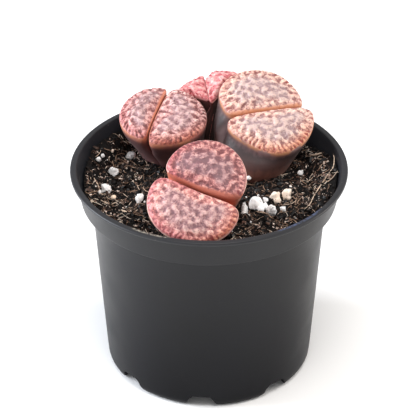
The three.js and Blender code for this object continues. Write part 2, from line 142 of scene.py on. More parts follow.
# The plants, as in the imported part. A face lies about "face" and leans by "lean" towards "lean_heading".
# "opening" is half the fissure's width, "bow" how far its middle is bent sideways, and "fissure_depth" how
# deep it goes. "corner" is the power that sharpens the ends of a leaf's flat side, "dome" is how far a face
# bulges, and "rim" is the radius of its edge. The side narrows to "root_size" by the power "fullness", and
# leans with the face for the share "follow" of its length. "net" is how strong the ridges are.
#
# A leaf reaches "length" to either side along the fissure and "width" away from it, and is longest at
# "middle". "slip" shifts it along the fissure. A "press" row flattens a side: its heading, its distance and
# the level where it ends. "crack_rim" is the edge's radius along the fissure, "band" the width of the
# smooth skin there at the fissure's start, middle and end, "glow" how strong that skin's colour is, and
# "bright" a shift of the leaf's tone.
PLANTS = [
    {
        "name": "plant_front", "look": "front", "seed": 1,
        "face": (-2.1, -22.2, 75.0), "lean": 33, "lean_heading": -90,
        "fissure_heading": -28, "opening": 0.4, "bow": -1.3, "fissure_depth": 8,
        "corner": 7, "dome": 1.6, "rim": 2.2, "fullness": 1.0, "follow": 0.5, "net": 0.45,
        "root": (-3.4, -20.0), "root_size": (8.0, 8.0), "root_depth": 5,
        "leaves": [
            {
                "length": 12.4, "width": 16.2, "middle": 3.9, "slip": -0.6,
                "press": [],
                "crack_rim": 2.0, "band": (0.5, 1.2, 2.6), "glow": 1.0, "bright": -0.15,
            },
            {
                "length": 14.0, "width": 18.4, "middle": 5.8, "slip": -0.2,
                "press": [],
                "crack_rim": 0.9, "band": (0.5, 0.5, 0.5), "glow": 0.3, "bright": 0.02,
            },
        ],
    },
    {
        "name": "plant_left", "look": "left", "seed": 2,
        "face": (-15.7, 20.6, 74.8), "lean": 11, "lean_heading": -90,
        "fissure_heading": 74, "opening": 0.2, "bow": 0.7, "fissure_depth": 7,
        "corner": 7, "dome": 1.6, "rim": 1.8, "fullness": 1.5, "follow": 0.3, "net": 0.75,
        "root": (-12.9, 21.3), "root_size": (8.2, 8.6), "root_depth": 5,
        "leaves": [
            {
                "length": 12.3, "width": 12.2, "middle": 1, "slip": 0.3,
                "press": [],
                "crack_rim": 0.8, "band": (0.6, 0.7, 1.3), "glow": 1.0, "bright": -0.09,
            },
            {
                "length": 13.2, "width": 15.3, "middle": 1, "slip": -0.1,
                "press": [],
                "crack_rim": 0.7, "band": (0.8, 0.4, 0.6), "glow": 0.7, "bright": -0.06,
            },
        ],
    },
    {
        "name": "plant_right", "look": "right", "seed": 3,
        "face": (17.0, 17.4, 77.0), "lean": 20, "lean_heading": -90,
        "fissure_heading": 11, "opening": 0.25, "bow": 0.9, "fissure_depth": 9,
        "corner": 7, "dome": 1.6, "rim": 1.7, "fullness": 1.6, "follow": 0.2, "net": 0.75,
        "root": (14.0, 13.2), "root_size": (11.0, 10.2), "root_depth": 5,
        "leaves": [
            {
                "length": 14.1, "width": 18.2, "middle": 1.5, "slip": -1.2,
                "press": [(195, 11.6, 0.4)],
                "crack_rim": 1.4, "band": (2.2, 0.8, 1.8), "glow": 0.9, "bright": -0.08,
            },
            {
                "length": 13.7, "width": 16.4, "middle": 1.5, "slip": 1.5,
                "press": [(48, 8.6, 0.4)],
                "crack_rim": 0.8, "band": (0.6, 0.4, 0.6), "glow": 0.3, "bright": -0.05,
            },
        ],
    },
    {
        "name": "plant_back", "look": "back", "seed": 4,
        "face": (-0.8, 31.4, 77.2), "lean": 18, "lean_heading": -135,
        "fissure_heading": 96, "opening": -0.05, "bow": 0, "fissure_depth": 5,
        "corner": 14, "dome": 1.2, "rim": 1.3, "fullness": 0.7, "follow": 0.3, "net": 0.8,
        "root": (-1.0, 29.6), "root_size": (4.4, 4.4), "root_depth": 4,
        "leaves": [
            {
                "length": 6.5, "width": 10.2, "middle": 0, "slip": 0.4,
                "press": [(138, 1.0, math.inf)],
                "crack_rim": 0.4, "band": (0.4, 0.4, 0.4), "glow": 0.5, "bright": 0.0,
            },
            {
                "length": 7.2, "width": 12.0, "middle": 0, "slip": 0.8,
                "press": [(45, 1.6, math.inf), (225, 6.9, math.inf)],
                "crack_rim": 0.4, "band": (0.4, 0.4, 0.4), "glow": 0.5, "bright": 0.0,
            },
        ],
    },
]

# Crumbs of perlite that are placed one by one: x, y, half size, how far above the soil it is lodged, and
# how creamy it is.
PERLITE_CRUMBS = [
    (12.3, 2.2, 0.9, 1.8, 0.1),
    (10.4, -14.6, 0.9, 0.0, 0.2),
    (12.0, -15.6, 0.6, 0.0, 0.2),
    (15.4, -12.6, 1.2, 0.2, 0.0),
    (16.9, -11.2, 1.3, 0.4, 0.0),
    (17.2, -9.6, 0.8, 1.0, 0.0),
    (20.9, -7.8, 1.2, 0.1, 0.8),
    (24.4, -6.0, 1.0, 0.2, 0.7),
    (-33.0, 13.6, 0.7, 0.0, 0.1),
    (-30.2, 17.1, 0.6, 0.0, 0.8),
    (-33.6, -1.2, 0.7, 0.0, 0.2),
    (-29.2, -4.8, 0.8, 0.0, 1.0),
]


# Numbers

def smoothstep(low, high, value):
    t = np.clip((value - low) / (high - low), 0, 1)
    return t * t * (3 - 2 * t)


def mix(a, b, t):
    return a + (b - a) * t


def rgb(red, green, blue):
    """A display colour of 0 to 255 as the linear colour that a shader takes."""
    shares = [c / 255 for c in (red, green, blue)]
    linear = [((c + 0.055) / 1.055) ** 2.4 if c > 0.04 else c / 12.92 for c in shares]
    return (*linear, 1.0)


def lattice_noise(x, y, cell, seed):
    """Smooth noise from -1 to 1 over a plane, with one bump to a cell."""
    values = np.random.default_rng(seed).uniform(-1, 1, (64, 64))
    u = np.asarray(x) / cell
    v = np.asarray(y) / cell
    i = np.floor(u).astype(int)
    j = np.floor(v).astype(int)
    a = smoothstep(0, 1, u - i)
    b = smoothstep(0, 1, v - j)
    low = mix(values[i % 64, j % 64], values[(i + 1) % 64, j % 64], a)
    high = mix(values[i % 64, (j + 1) % 64], values[(i + 1) % 64, (j + 1) % 64], a)
    return mix(low, high, b)


# Meshes

def new_mesh(name, points, faces):
    mesh = bpy.data.meshes.new(name)
    mesh.from_pydata((np.asarray(points) * MM).tolist(), [], faces)
    mesh.validate()
    mesh.update()
    return mesh


def new_object(name, mesh, material=None):
    made = bpy.data.objects.new(name, mesh)
    bpy.context.scene.collection.objects.link(made)
    if material:
        mesh.materials.append(material)
    return made


def store(mesh, name, values):
    """Keeps one number a point, which the material reads."""
    layer = mesh.attributes.new(name, "FLOAT", "POINT")
    layer.data.foreach_set("value", np.asarray(values, dtype=np.float32))


def smooth(mesh, angle):
    """Shades a mesh smooth, but for edges sharper than an angle in degrees."""
    mesh.shade_smooth()
    mesh.set_sharp_from_angle(angle=math.radians(angle))


def piece(made, slot, *nodes):
    """Rides a finished piece on the one body, and hides the nodes it stands for."""
    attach(made, "root")
    if nodes:
        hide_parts(*nodes)
    return made


def ring_faces(rings, sides):
    """Quads between rings of points, each ring closed on itself."""
    faces = []
    for ring in range(rings - 1):
        for side in range(sides):
            following = (side + 1) % sides
            a = ring * sides
            b = a + sides
            faces.append((a + side, a + following, b + following, b + side))
    return faces


def tube_faces(rings, sides):
    """The faces of a closed tube: its two ends, and the quads between its rings."""
    last_ring = (rings - 1) * sides
    ends = [tuple(range(sides))[::-1], tuple(range(last_ring, last_ring + sides))]
    return ends + ring_faces(rings, sides)


def capped_faces(rings, sides):
    """The faces of a closed form whose points are one point, rings of points, and one more point."""
    faces = [tuple(i + 1 for i in face) for face in ring_faces(rings, sides)]
    last_ring = 1 + (rings - 1) * sides
    last = last_ring + sides
    for k in range(sides):
        n = (k + 1) % sides
        faces.append((1 + n, 1 + k, 0))
        faces.append((last_ring + k, last_ring + n, last))
    return faces


def boolean(made, others, operation):
    """Joins or cuts a closed mesh with others, and removes them."""
    for other in others:
        step = made.modifiers.new("step", "BOOLEAN")
        step.operation = operation
        step.solver = "MANIFOLD"
        step.object = other
    depsgraph = bpy.context.evaluated_depsgraph_get()
    result = bpy.data.meshes.new_from_object(made.evaluated_get(depsgraph))
    made.modifiers.clear()
    made.data = result
    for other in others:
        bpy.data.objects.remove(other)
    return made


def points_of(mesh):
    """A mesh's points in millimetres."""
    places = np.zeros(len(mesh.vertices) * 3, dtype=np.float32)
    mesh.vertices.foreach_get("co", places)
    return places.reshape(-1, 3) / MM


def welded(mesh):
    """The same mesh in triangles, with points that lie closer than WELD_DISTANCE made one.

    Triangles that this collapses or folds onto each other are left out.
    """
    places = points_of(mesh)
    mesh.calc_loop_triangles()
    corners = np.zeros(len(mesh.loop_triangles) * 3, dtype=np.int32)
    mesh.loop_triangles.foreach_get("vertices", corners)
    work = bmesh.new()
    work.from_mesh(mesh)
    twins = bmesh.ops.find_doubles(work, verts=work.verts, dist=WELD_DISTANCE * MM)["targetmap"]
    target = np.arange(len(places))
    for twin, other in twins.items():
        target[twin.index] = other.index
    work.free()
    triangles = target[corners].reshape(-1, 3)
    a, b, c = triangles.T
    triangles = triangles[(a != b) & (b != c) & (c != a)]
    sets = np.sort(triangles, 1)
    _, which, times = np.unique(sets, axis=0, return_inverse=True, return_counts=True)
    triangles = triangles[times[which.reshape(-1)] == 1]
    kept, faces = np.unique(triangles, return_inverse=True)
    made = new_mesh(mesh.name, places[kept], faces.reshape(-1, 3).tolist())
    for layer in mesh.attributes:
        if layer.data_type == "FLOAT" and layer.domain == "POINT":
            values = np.zeros(len(places), dtype=np.float32)
            layer.data.foreach_get("value", values)
            store(made, layer.name, values[kept])
    return made


# Materials

class Look:
    """A node material, built up node by node."""

    def __init__(self, name):
        self.material = bpy.data.materials.new(name)
        self.material.use_nodes = True
        self.tree = self.material.node_tree
        self.shader = self.tree.nodes["Principled BSDF"]
        self.place = self.add("TexCoord").outputs["Object"]

    def add(self, kind, inputs=None, **settings):
        node = self.tree.nodes.new("ShaderNode" + kind)
        for key, value in settings.items():
            setattr(node, key, value)
        for key, value in (inputs or {}).items():
            self.put(node.inputs[key], value)
        return node

    def put(self, socket, value):
        if isinstance(value, bpy.types.NodeSocket):
            self.tree.links.new(value, socket)
        else:
            socket.default_value = value

    def value(self, name):
        """A number kept on the mesh's points."""
        return self.add("Attribute", attribute_name=name).outputs["Fac"]

    def noise(self, size, detail, roughness=0.5, stretch=(1, 1, 1), warp=0.0):
        """Noise with bumps of a size in millimetres."""
        scaled = self.add("Mapping", {"Vector": self.place, "Scale": stretch}).outputs["Vector"]
        inputs = {
            "Vector": scaled,
            "Scale": 1 / (size * MM),
            "Detail": detail,
            "Roughness": roughness,
            "Distortion": warp,
        }
        return self.add("TexNoise", inputs).outputs["Fac"]

    def cells(self, size):
        """Distance to the nearest of scattered points, with cells of a size in millimetres."""
        inputs = {"Vector": self.place, "Scale": 1 / (size * MM)}
        return self.add("TexVoronoi", inputs).outputs["Distance"]

    def math(self, operation, *values):
        node = self.add("Math", operation=operation)
        for socket, value in zip(node.inputs, values):
            self.put(socket, value)
        return node.outputs["Value"]

    def times(self, a, b):
        return self.math("MULTIPLY", a, b)

    def stirred(self, value, noise, amount):
        """A number unsettled by noise, which is 0.5 on average."""
        return self.math("MULTIPLY_ADD", self.math("SUBTRACT", noise, 0.5), amount, value)

    def steps(self, value, low, high, out_low=0.0, out_high=1.0):
        """A smooth change from one number to another while the value goes from low to high."""
        inputs = {
            "Value": value,
            "From Min": low,
            "From Max": high,
            "To Min": out_low,
            "To Max": out_high,
        }
        node = self.add("MapRange", inputs, interpolation_type="SMOOTHSTEP")
        return node.outputs["Result"]

    def ramp(self, value, stops):
        """A colour by a number, from (number, colour) stops over 0 to 1."""
        node = self.add("ValToRGB", {"Fac": value})
        entries = node.color_ramp.elements
        while len(entries) < len(stops):
            entries.new(0.5)
        for entry, (position, colour) in zip(entries, stops):
            entry.position = position
            entry.color = colour
        return node.outputs["Color"]

    def blend(self, factor, a, b, kind="MIX"):
        node = self.add("Mix", data_type="RGBA", blend_type=kind)
        self.put(node.inputs["Factor"], factor)
        self.put(node.inputs[6], a)
        self.put(node.inputs[7], b)
        return node.outputs[2]

    def bump(self, height, depth, strength, under=None):
        """A normal from a height, where a height of 1 stands for a depth in millimetres."""
        inputs = {"Height": height, "Distance": depth * MM, "Strength": strength}
        if under is not None:
            inputs["Normal"] = under
        return self.add("Bump", inputs).outputs["Normal"]

    def finish(self, **inputs):
        """Sets the shader's inputs and hands over the material."""
        names = {
            "colour": "Base Color",
            "roughness": "Roughness",
            "normal": "Normal",
            "specular": "Specular IOR Level",
            "subsurface": "Subsurface Weight",
            "reach": "Subsurface Radius",
            "reach_scale": "Subsurface Scale",
            "sheen": "Sheen Weight",
        }
        for key, value in inputs.items():
            self.put(self.shader.inputs[names[key]], value)
        return self.material


# The skin's colours on each plant: five tones from the hollows to the tops of the ridges; the window in the
# middle of a leaf; the dots; the dashes at the rim; tints over the rim's left part and its lowest part,
# which are painted cool light and painted shade; the fissure's edge, and its depth, which is painted shade,
# but painted light on the front plant; the skin just outside the net, in two tints, whose pale one on the
# front plant is a painted highlight along the rim; and the side from the rim down to the soil, whose
# lighter foot on the left and right plants is painted light.
SKINS = {
    "front": {
        "tones": [(116, 64, 66), (164, 104, 102), (202, 140, 134), (230, 178, 168), (246, 210, 198)],
        "window": [(120, 84, 90), (162, 122, 124), (204, 164, 160)],
        "dot": (98, 52, 60),
        "dash": (136, 56, 62),
        "rim": [(238, 196, 206), (246, 206, 182)],
        "crack": (186, 106, 86),
        "deep_painted_shade_and_light": (224, 116, 80),
        "edge": [(250, 206, 190), (236, 176, 168)],
        "side": [(196, 124, 98), (150, 92, 76), (120, 74, 60), (96, 60, 50)],
    },
    "left": {
        "tones": [(112, 64, 64), (166, 112, 110), (206, 158, 154), (230, 188, 182), (246, 212, 204)],
        "window": [(146, 112, 116), (184, 150, 150), (216, 184, 182)],
        "dot": (92, 44, 50),
        "dash": (92, 34, 30),
        "rim": [(240, 204, 206), (226, 172, 150)],
        "crack": (204, 126, 98),
        "deep_painted_shade_and_light": (96, 44, 38),
        "edge": [(198, 128, 100), (168, 104, 96)],
        "side": [(112, 66, 60), (78, 46, 46), (98, 62, 62), (144, 100, 100)],
    },
    "right": {
        "tones": [(134, 86, 82), (186, 142, 134), (220, 182, 168), (236, 202, 184), (248, 218, 200)],
        "window": [(156, 130, 132), (192, 166, 162), (216, 188, 178)],
        "dot": (116, 72, 76),
        "dash": (150, 48, 38),
        "rim": [(250, 236, 232), (242, 200, 176)],
        "crack": (212, 146, 110),
        "deep_painted_shade_and_light": (96, 74, 76),
        "edge": [(216, 150, 112), (150, 122, 120)],
        "side": [(110, 80, 80), (46, 29, 29), (72, 44, 40), (144, 94, 80)],
    },
    "back": {
        "tones": [(146, 56, 62), (186, 100, 104), (212, 140, 140), (226, 170, 166), (238, 194, 188)],
        "window": [(184, 104, 108), (214, 146, 146), (230, 178, 172)],
        "dot": (150, 56, 64),
        "dash": (160, 44, 52),
        "rim": [(246, 220, 220), (240, 196, 196)],
        "crack": (110, 42, 42),
        "deep_painted_shade_and_light": (60, 26, 26),
        "edge": [(236, 170, 160), (226, 150, 146)],
        "side": [(120, 72, 66), (80, 50, 46), (60, 38, 34), (50, 34, 30)],
    },
}


def colour_stops(colours, places):
    """Stops for a ramp, from colours in 0 to 255 and the numbers where they lie."""
    return [(place, rgb(*colour)) for place, colour in zip(places, colours)]


def leaf_material(name):
    """A plant's skin, led by the numbers that leaf_mesh keeps on its points."""
    skin = SKINS[name]
    look = Look("leaf_" + name)
    edge = look.value("edge")
    mottle = look.noise(1.0, 2.5, 0.6, warp=0.6)
    fine = look.noise(0.45, 2.0, 0.6)
    patch = look.noise(5.0, 2.0)

    # The tone from the net's height, broken up by two finer mottlings.
    tone = look.math("MULTIPLY_ADD", look.value("net"), 0.2, 0.465)
    tone = look.stirred(tone, mottle, 1.4)
    tone = look.stirred(tone, fine, 0.55)
    tone = look.math("ADD", tone, look.value("bright"))
    face = look.ramp(tone, colour_stops(skin["tones"], (0.12, 0.32, 0.5, 0.68, 0.86)))
    window = look.ramp(tone, colour_stops(skin["window"], (0.2, 0.45, 0.8)))
    inside = look.steps(look.math("MULTIPLY_ADD", patch, 9.0, edge), 7.0, 10.0)
    face = look.blend(look.times(inside, 0.85), face, window)

    # Dots in clusters, dashes between the short ridges at the rim, and the rim's tints of painted cool
    # light and painted shade.
    spots = look.steps(look.noise(0.8, 0.0), 0.6, 0.7)
    spots = look.times(spots, look.steps(look.noise(4.0, 1.0), 0.44, 0.6))
    face = look.blend(look.times(spots, 0.6), face, rgb(*skin["dot"]))
    dashes = look.times(look.value("dash"), look.steps(look.noise(2.6, 1.0), 0.46, 0.6))
    face = look.blend(look.times(dashes, 0.9), face, rgb(*skin["dash"]))
    rim = look.steps(edge, 4.0, 0.3)
    warm = look.value("warm")
    # Painted light: a cool tint over the rim's left part, standing in for the cool light from the left.
    painted_cool_light_rim = look.times(rim, look.math("SUBTRACT", 1.0, warm))
    # Painted shade, dark and warm, over the rim's lowest part, which faces down and away from the light.
    painted_shade_front_rim = look.times(rim, look.times(warm, look.value("low")))
    face = look.blend(painted_cool_light_rim, face, rgb(*skin["rim"][0]), "MULTIPLY")
    face = look.blend(painted_shade_front_rim, face, rgb(*skin["rim"][1]), "MULTIPLY")

    # The smooth skin at the fissure and just outside the net, and the side down to the soil. Some of it is
    # painted light and shade: a highlight on the front plant's rim, the side's lighter foot, and the
    # fissure's depth.
    broken = look.stirred(look.value("crack"), mottle, 1.0)
    band = look.times(look.steps(broken, 0.1, 0.9), look.steps(patch, 0.3, 0.6, 0.75, 0.95))
    face = look.blend(band, face, rgb(*skin["crack"]))
    streak = look.noise(1.6, 3.0, 0.6, stretch=(1, 1, 0.25))
    down = look.stirred(look.value("level"), streak, 0.3)
    # The lighter foot of the left and right plants' sides is painted light, against the shade down there.
    side = look.ramp(down, colour_stops(skin["side"], (0.0, 0.22, 0.6, 0.95)))
    below = look.steps(look.stirred(edge, mottle, 2.0), 0.2, -0.7)
    at_crack = look.math("GREATER_THAN", look.value("crack"), 0.02)
    # The front plant's pale tint here is a painted highlight along the rim.
    skirt_and_painted_highlight = look.blend(look.steps(patch, 0.42, 0.58), *[rgb(*tint) for tint in skin["edge"]])
    lip = look.blend(at_crack, skirt_and_painted_highlight, rgb(*skin["crack"]))
    colour = look.blend(below, face, lip)
    colour = look.blend(look.steps(edge, -0.2, -3.0), colour, side)
    # Painted shade deep in the fissure, which on the front plant is painted light instead.
    wall = look.blend(look.steps(edge, -1.2, -3.4), rgb(*skin["crack"]), rgb(*skin["deep_painted_shade_and_light"]))
    colour = look.blend(look.value("wall"), colour, wall)

    wrinkles = look.bump(look.noise(0.9, 3.0, 0.55), 0.14, 0.35)
    normal = look.bump(look.noise(0.22, 2.0), 0.03, 0.3, wrinkles)
    return look.finish(
        colour=colour,
        roughness=look.steps(fine, 0.2, 0.8, 0.42, 0.6),
        normal=normal,
        specular=0.4,
        sheen=0.05,
        subsurface=0.1,
        reach=(1.0, 0.45, 0.3),
        reach_scale=0.002,
    )


def pot_material():
    """Dark plastic, with the wear and the painted blue reflection on its lip, and the brushing of its wall.
    """
    look = Look("pot_plastic")
    height = look.value("height")
    inside = look.value("inside")
    cloud = look.noise(14.0, 3.0, 0.55)

    # Dark plastic, a little lighter and dustier inside and towards the lip.
    high = look.steps(height, 0.972, 0.996)
    colour = look.ramp(cloud, [(0.3, rgb(12, 12, 15)), (0.7, rgb(17, 17, 21))])
    colour = look.blend(look.times(high, 0.2), colour, rgb(84, 84, 88))
    colour = look.blend(look.times(inside, 0.8), colour, rgb(44, 46, 51))
    dust = look.steps(look.noise(0.7, 2.0, 0.7), 0.66, 0.78)
    dusty = look.math("MULTIPLY_ADD", look.math("MAXIMUM", high, inside), 0.4, 0.04)
    colour = look.blend(look.times(dust, dusty), colour, rgb(150, 138, 124))

    # The rubbed stretch and the painted blue reflection, on the lip only.
    lip = look.steps(height, 0.985, 0.993)
    rubbed = look.noise(0.8, 2.0, 0.7)
    worn = look.times(look.steps(look.value("worn"), 0.2, 0.6), look.steps(rubbed, 0.4, 0.6))
    worn = look.times(worn, lip)
    colour = look.blend(look.times(worn, 0.8), colour, rgb(160, 152, 138))
    # Painted reflection: a blue sheen of the sky on the lip's inner edge at the front right.
    painted_blue_reflection = look.times(look.steps(look.value("painted_blue_reflection"), 0.1, 0.6), look.steps(rubbed, 0.35, 0.7))
    painted_blue_reflection = look.times(painted_blue_reflection, lip)
    colour = look.blend(look.times(painted_blue_reflection, 0.7), colour, rgb(84, 98, 134))

    normal = look.bump(look.noise(1.2, 2.0, 0.5, stretch=(1, 1, 12)), 0.05, 0.12)
    normal = look.bump(look.noise(0.35, 2.0, 0.6), 0.02, 0.35, normal)
    return look.finish(
        colour=colour,
        roughness=look.steps(cloud, 0.25, 0.75, 0.36, 0.46),
        normal=normal,
        specular=look.steps(height, 0.0, 0.9, 0.12, 0.3),
    )


def soil_material():
    """Dark peat with lighter crumbs."""
    look = Look("soil")
    clump = look.noise(2.2, 4.0, 0.65)
    fine = look.noise(0.35, 3.0, 0.6)
    colour = look.ramp(clump, [(0.3, rgb(4, 3, 3)), (0.55, rgb(12, 8, 7)), (0.75, rgb(36, 25, 21))])
    colour = look.blend(look.steps(fine, 0.62, 0.78, 0.0, 0.5), colour, rgb(84, 66, 54))
    normal = look.bump(look.noise(0.8, 4.0, 0.7), 0.5, 0.8)
    normal = look.bump(fine, 0.15, 0.6, normal)
    return look.finish(
        colour=colour,
        roughness=look.steps(fine, 0.35, 0.7, 0.55, 0.95),
        normal=normal,
        specular=0.2,
    )


def litter_material(name, stops, shine):
    """Chips, fibres or roots, each with its own shade kept on its points."""
    look = Look(name)
    fine = look.noise(0.4, 3.0, 0.6)
    colour = look.ramp(look.stirred(look.value("shade"), fine, 0.35), stops)
    return look.finish(
        colour=colour,
        roughness=look.steps(fine, 0.3, 0.7, shine, shine + 0.25),
        normal=look.bump(fine, 0.12, 0.6),
        specular=0.3,
    )


def perlite_material():
    """White foamed rock with pits. The shade on its points turns it creamy."""
    look = Look("perlite")
    shade = look.value("shade")
    pits = look.cells(1.1)
    cloud = look.noise(0.8, 3.0, 0.6)
    colour = look.ramp(cloud, [(0.3, rgb(246, 246, 248)), (0.6, rgb(255, 255, 255))])
    colour = look.blend(shade, colour, rgb(252, 224, 198), "MULTIPLY")
    dirt = look.steps(look.noise(1.3, 4.0, 0.7), 0.62, 0.75)
    colour = look.blend(look.times(dirt, 0.2), colour, rgb(176, 160, 146))
    colour = look.blend(look.steps(pits, 0.2, 0.1, 0.0, 0.8), colour, rgb(84, 70, 60))
    normal = look.bump(pits, 0.25, 0.5)
    normal = look.bump(look.noise(0.3, 3.0, 0.6), 0.12, 0.5, normal)
    return look.finish(
        colour=colour,
        roughness=0.75,
        normal=normal,
        specular=0.4,
        subsurface=0.2,
        reach=(1.0, 1.0, 1.0),
        reach_scale=0.001,
    )


# The pot

def rounded(corners):
    """A profile of (radius, height) points with round corners, from rows of (radius, height, round)."""
    points = []
    count = len(corners)
    for i, (x, y, bend) in enumerate(corners):
        here = np.array([x, y], float)
        if bend == 0:
            points.append(here)
            continue
        before = np.array(corners[i - 1][:2], float) - here
        after = np.array(corners[(i + 1) % count][:2], float) - here
        start = here + before / np.linalg.norm(before) * bend
        end = here + after / np.linalg.norm(after) * bend
        for t in np.linspace(0, 1, BEND_POINTS):
            points.append((1 - t) ** 2 * start + 2 * t * (1 - t) * here + t * t * end)
    return points


def subdivided(points, longest):
    """The same closed profile with its long stretches divided."""
    result = []
    for i, here in enumerate(points):
        following = points[(i + 1) % len(points)]
        parts = max(1, math.ceil(np.linalg.norm(following - here) / longest))
        for k in range(parts):
            result.append(mix(here, following, k / parts))
    return result


def lathed(name, profile, sides):
    """A closed mesh about Z from a closed profile, whose points on the axis become one point each."""
    angles = np.arange(sides) * TAU / sides
    points = []
    rows = []
    for radius, height in profile:
        if radius < 1e-6:
            rows.append([len(points)] * sides)
            points.append((0, 0, height))
        else:
            rows.append(list(range(len(points), len(points) + sides)))
            points.extend((radius * math.cos(a), radius * math.sin(a), height) for a in angles)
    faces = []
    for i, row in enumerate(rows):
        following = rows[(i + 1) % len(rows)]
        for k in range(sides):
            n = (k + 1) % sides
            corners = list(dict.fromkeys((row[k], row[n], following[n], following[k])))
            if len(corners) > 2:
                faces.append(corners)
    return new_object(name, new_mesh(name, points, faces))


def prism(outline, length):
    """A closed prism of an outline in Y and Z, along X."""
    points = [(x, y, z) for x in (0, length) for y, z in outline]
    return points, tube_faces(2, len(outline))


def turned(points, heading):
    """Points turned about Z by a heading in radians."""
    points = np.asarray(points, float)
    x = points[:, 0] * math.cos(heading) - points[:, 1] * math.sin(heading)
    y = points[:, 0] * math.sin(heading) + points[:, 1] * math.cos(heading)
    return np.stack([x, y, points[:, 2]], 1)


def notch_cutters():
    """Wedges that cut the notches out of the foot ring, from a little below the ground."""
    below = 1.0
    flare = (NOTCH_LOW_WIDTH - NOTCH_TOP_WIDTH) / 2 * (1 + below / NOTCH_HEIGHT)
    half = NOTCH_TOP_WIDTH / 2
    profile = [
        (-half - flare, -below),
        (half + flare, -below),
        (half + 0.5, NOTCH_HEIGHT - 0.8),
        (half - 0.5, NOTCH_HEIGHT),
        (-half + 0.5, NOTCH_HEIGHT),
        (-half - 0.5, NOTCH_HEIGHT - 0.8),
    ]
    cutters = []
    for i in range(NOTCH_COUNT):
        heading = math.radians(NOTCH_HEADING + i * 360 / NOTCH_COUNT)
        points, faces = prism(profile, NOTCH_DEPTH)
        points = np.array(points) + (FOOT_RADIUS - NOTCH_DEPTH / 2, 0, 0)
        cutters.append(new_object("notch", new_mesh("notch", turned(points, heading), faces)))
    return cutters


def drain_cutters():
    """Round rods that cut the drain holes out of the floor."""
    cutters = []
    sides = 40
    circle = [(math.cos(a), math.sin(a)) for a in np.arange(sides) * TAU / sides]
    for i in range(DRAIN_COUNT):
        heading = math.radians(DRAIN_HEADING + i * 360 / DRAIN_COUNT)
        x = DRAIN_CIRCLE * math.cos(heading)
        y = DRAIN_CIRCLE * math.sin(heading)
        points = [
            (x + u * DRAIN_RADIUS, y + v * DRAIN_RADIUS, z)
            for z in (FLOOR_UNDERSIDE - 2, FLOOR_UNDERSIDE + 3)
            for u, v in circle
        ]
        cutters.append(new_object("drain", new_mesh("drain", points, tube_faces(2, sides))))
    return cutters


def pot_profile():
    """The wall's closed section, from the foot up the outside, over the lip and down the inside."""
    corners = [
        (FOOT_RADIUS, 0, 0.3),
        (BODY_LOW_RADIUS - 0.25, 1.4, 1.1),
        (BODY_LOW_RADIUS, CORNER_HEIGHT, 1.0),
        (BODY_TOP_RADIUS, LEDGE, 0.35),
        (COLLAR_LOW_RADIUS, LEDGE, 0.5),
        (COLLAR_TOP_RADIUS, POT_HEIGHT - LIP_THICKNESS, 0.5),
        (POT_RADIUS, POT_HEIGHT - LIP_THICKNESS, 0.55),
        (POT_RADIUS, POT_HEIGHT, 0.55),
        (POT_RADIUS - LIP_WIDTH, POT_HEIGHT, 0.5),
        (COLLAR_LOW_RADIUS - WALL, LEDGE + WALL, 0.5),
        (BODY_TOP_RADIUS - WALL, LEDGE - 0.4, 0.5),
        (BODY_LOW_RADIUS - WALL, FLOOR_TOP, 1.0),
        (0, FLOOR_TOP, 0),
        (0, FLOOR_UNDERSIDE, 0),
        (BODY_LOW_RADIUS - FOOT_WIDTH, FLOOR_UNDERSIDE, 0.4),
        (FOOT_RADIUS - FOOT_WIDTH, 0, 0.3),
    ]
    return subdivided(rounded(corners), 9.0)


def make_pot():
    """The pot, with its height, its inside, and the worn stretch and painted reflection on its lip kept for
    the material.
    """
    pot = lathed("pot_shell", pot_profile(), POT_SIDES)
    boolean(pot, notch_cutters() + drain_cutters(), "DIFFERENCE")
    x, y, height = points_of(pot.data).T
    radius = np.hypot(x, y)
    outer = np.interp(height, (LEDGE, POT_HEIGHT - LIP_THICKNESS), (COLLAR_LOW_RADIUS, COLLAR_TOP_RADIUS))
    inner = (radius < outer - 0.5 * WALL) & (height > LEDGE)
    store(pot.data, "height", height / POT_HEIGHT)
    store(pot.data, "inside", inner & (height < POT_HEIGHT - 0.3))
    lip_edge = smoothstep(POT_RADIUS - 1.2, POT_RADIUS - 1.6, radius)
    lip_edge = lip_edge * smoothstep(POT_HEIGHT - 0.8, POT_HEIGHT - 0.4, height)
    heading = np.degrees(np.arctan2(y, x))
    store(pot.data, "worn", lip_edge * (1 - smoothstep(4, 12, np.abs(heading - WORN_HEADING))))
    # Where the painted blue reflection goes on the lip.
    store(pot.data, "painted_blue_reflection", lip_edge * (1 - smoothstep(7, 16, np.abs(heading - PAINTED_REFLECTION_HEADING))))
    smooth(pot.data, 50)
    pot.data.materials.clear()
    pot.data.materials.append(pot_material())
    return piece(pot, "pot_plastic", "pot")


# The soil

GRAIN_NAMES = sorted(name for name in frame["nodes"] if name.startswith("perlite"))


def grain_places():
    """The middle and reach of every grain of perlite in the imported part, seen from above."""
    grains = []
    for name in GRAIN_NAMES:
        low, high = (np.array(corner[:2]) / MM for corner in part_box(name))
        grains.append(((low + high) / 2, max(high - low) / 2))
    return grains


GRAINS = grain_places()


def bank_height(x, y):
    """How far the soil is banked up against the wall in a direction."""
    bank = SOIL_BANK_LOWEST
    for heading, half_width, height in SOIL_BANKS:
        away = np.degrees(np.arccos(np.clip(np.cos(np.arctan2(y, x) - math.radians(heading)), -1, 1)))
        bank = bank + height * (1 - smoothstep(0, half_width, away))
    return bank


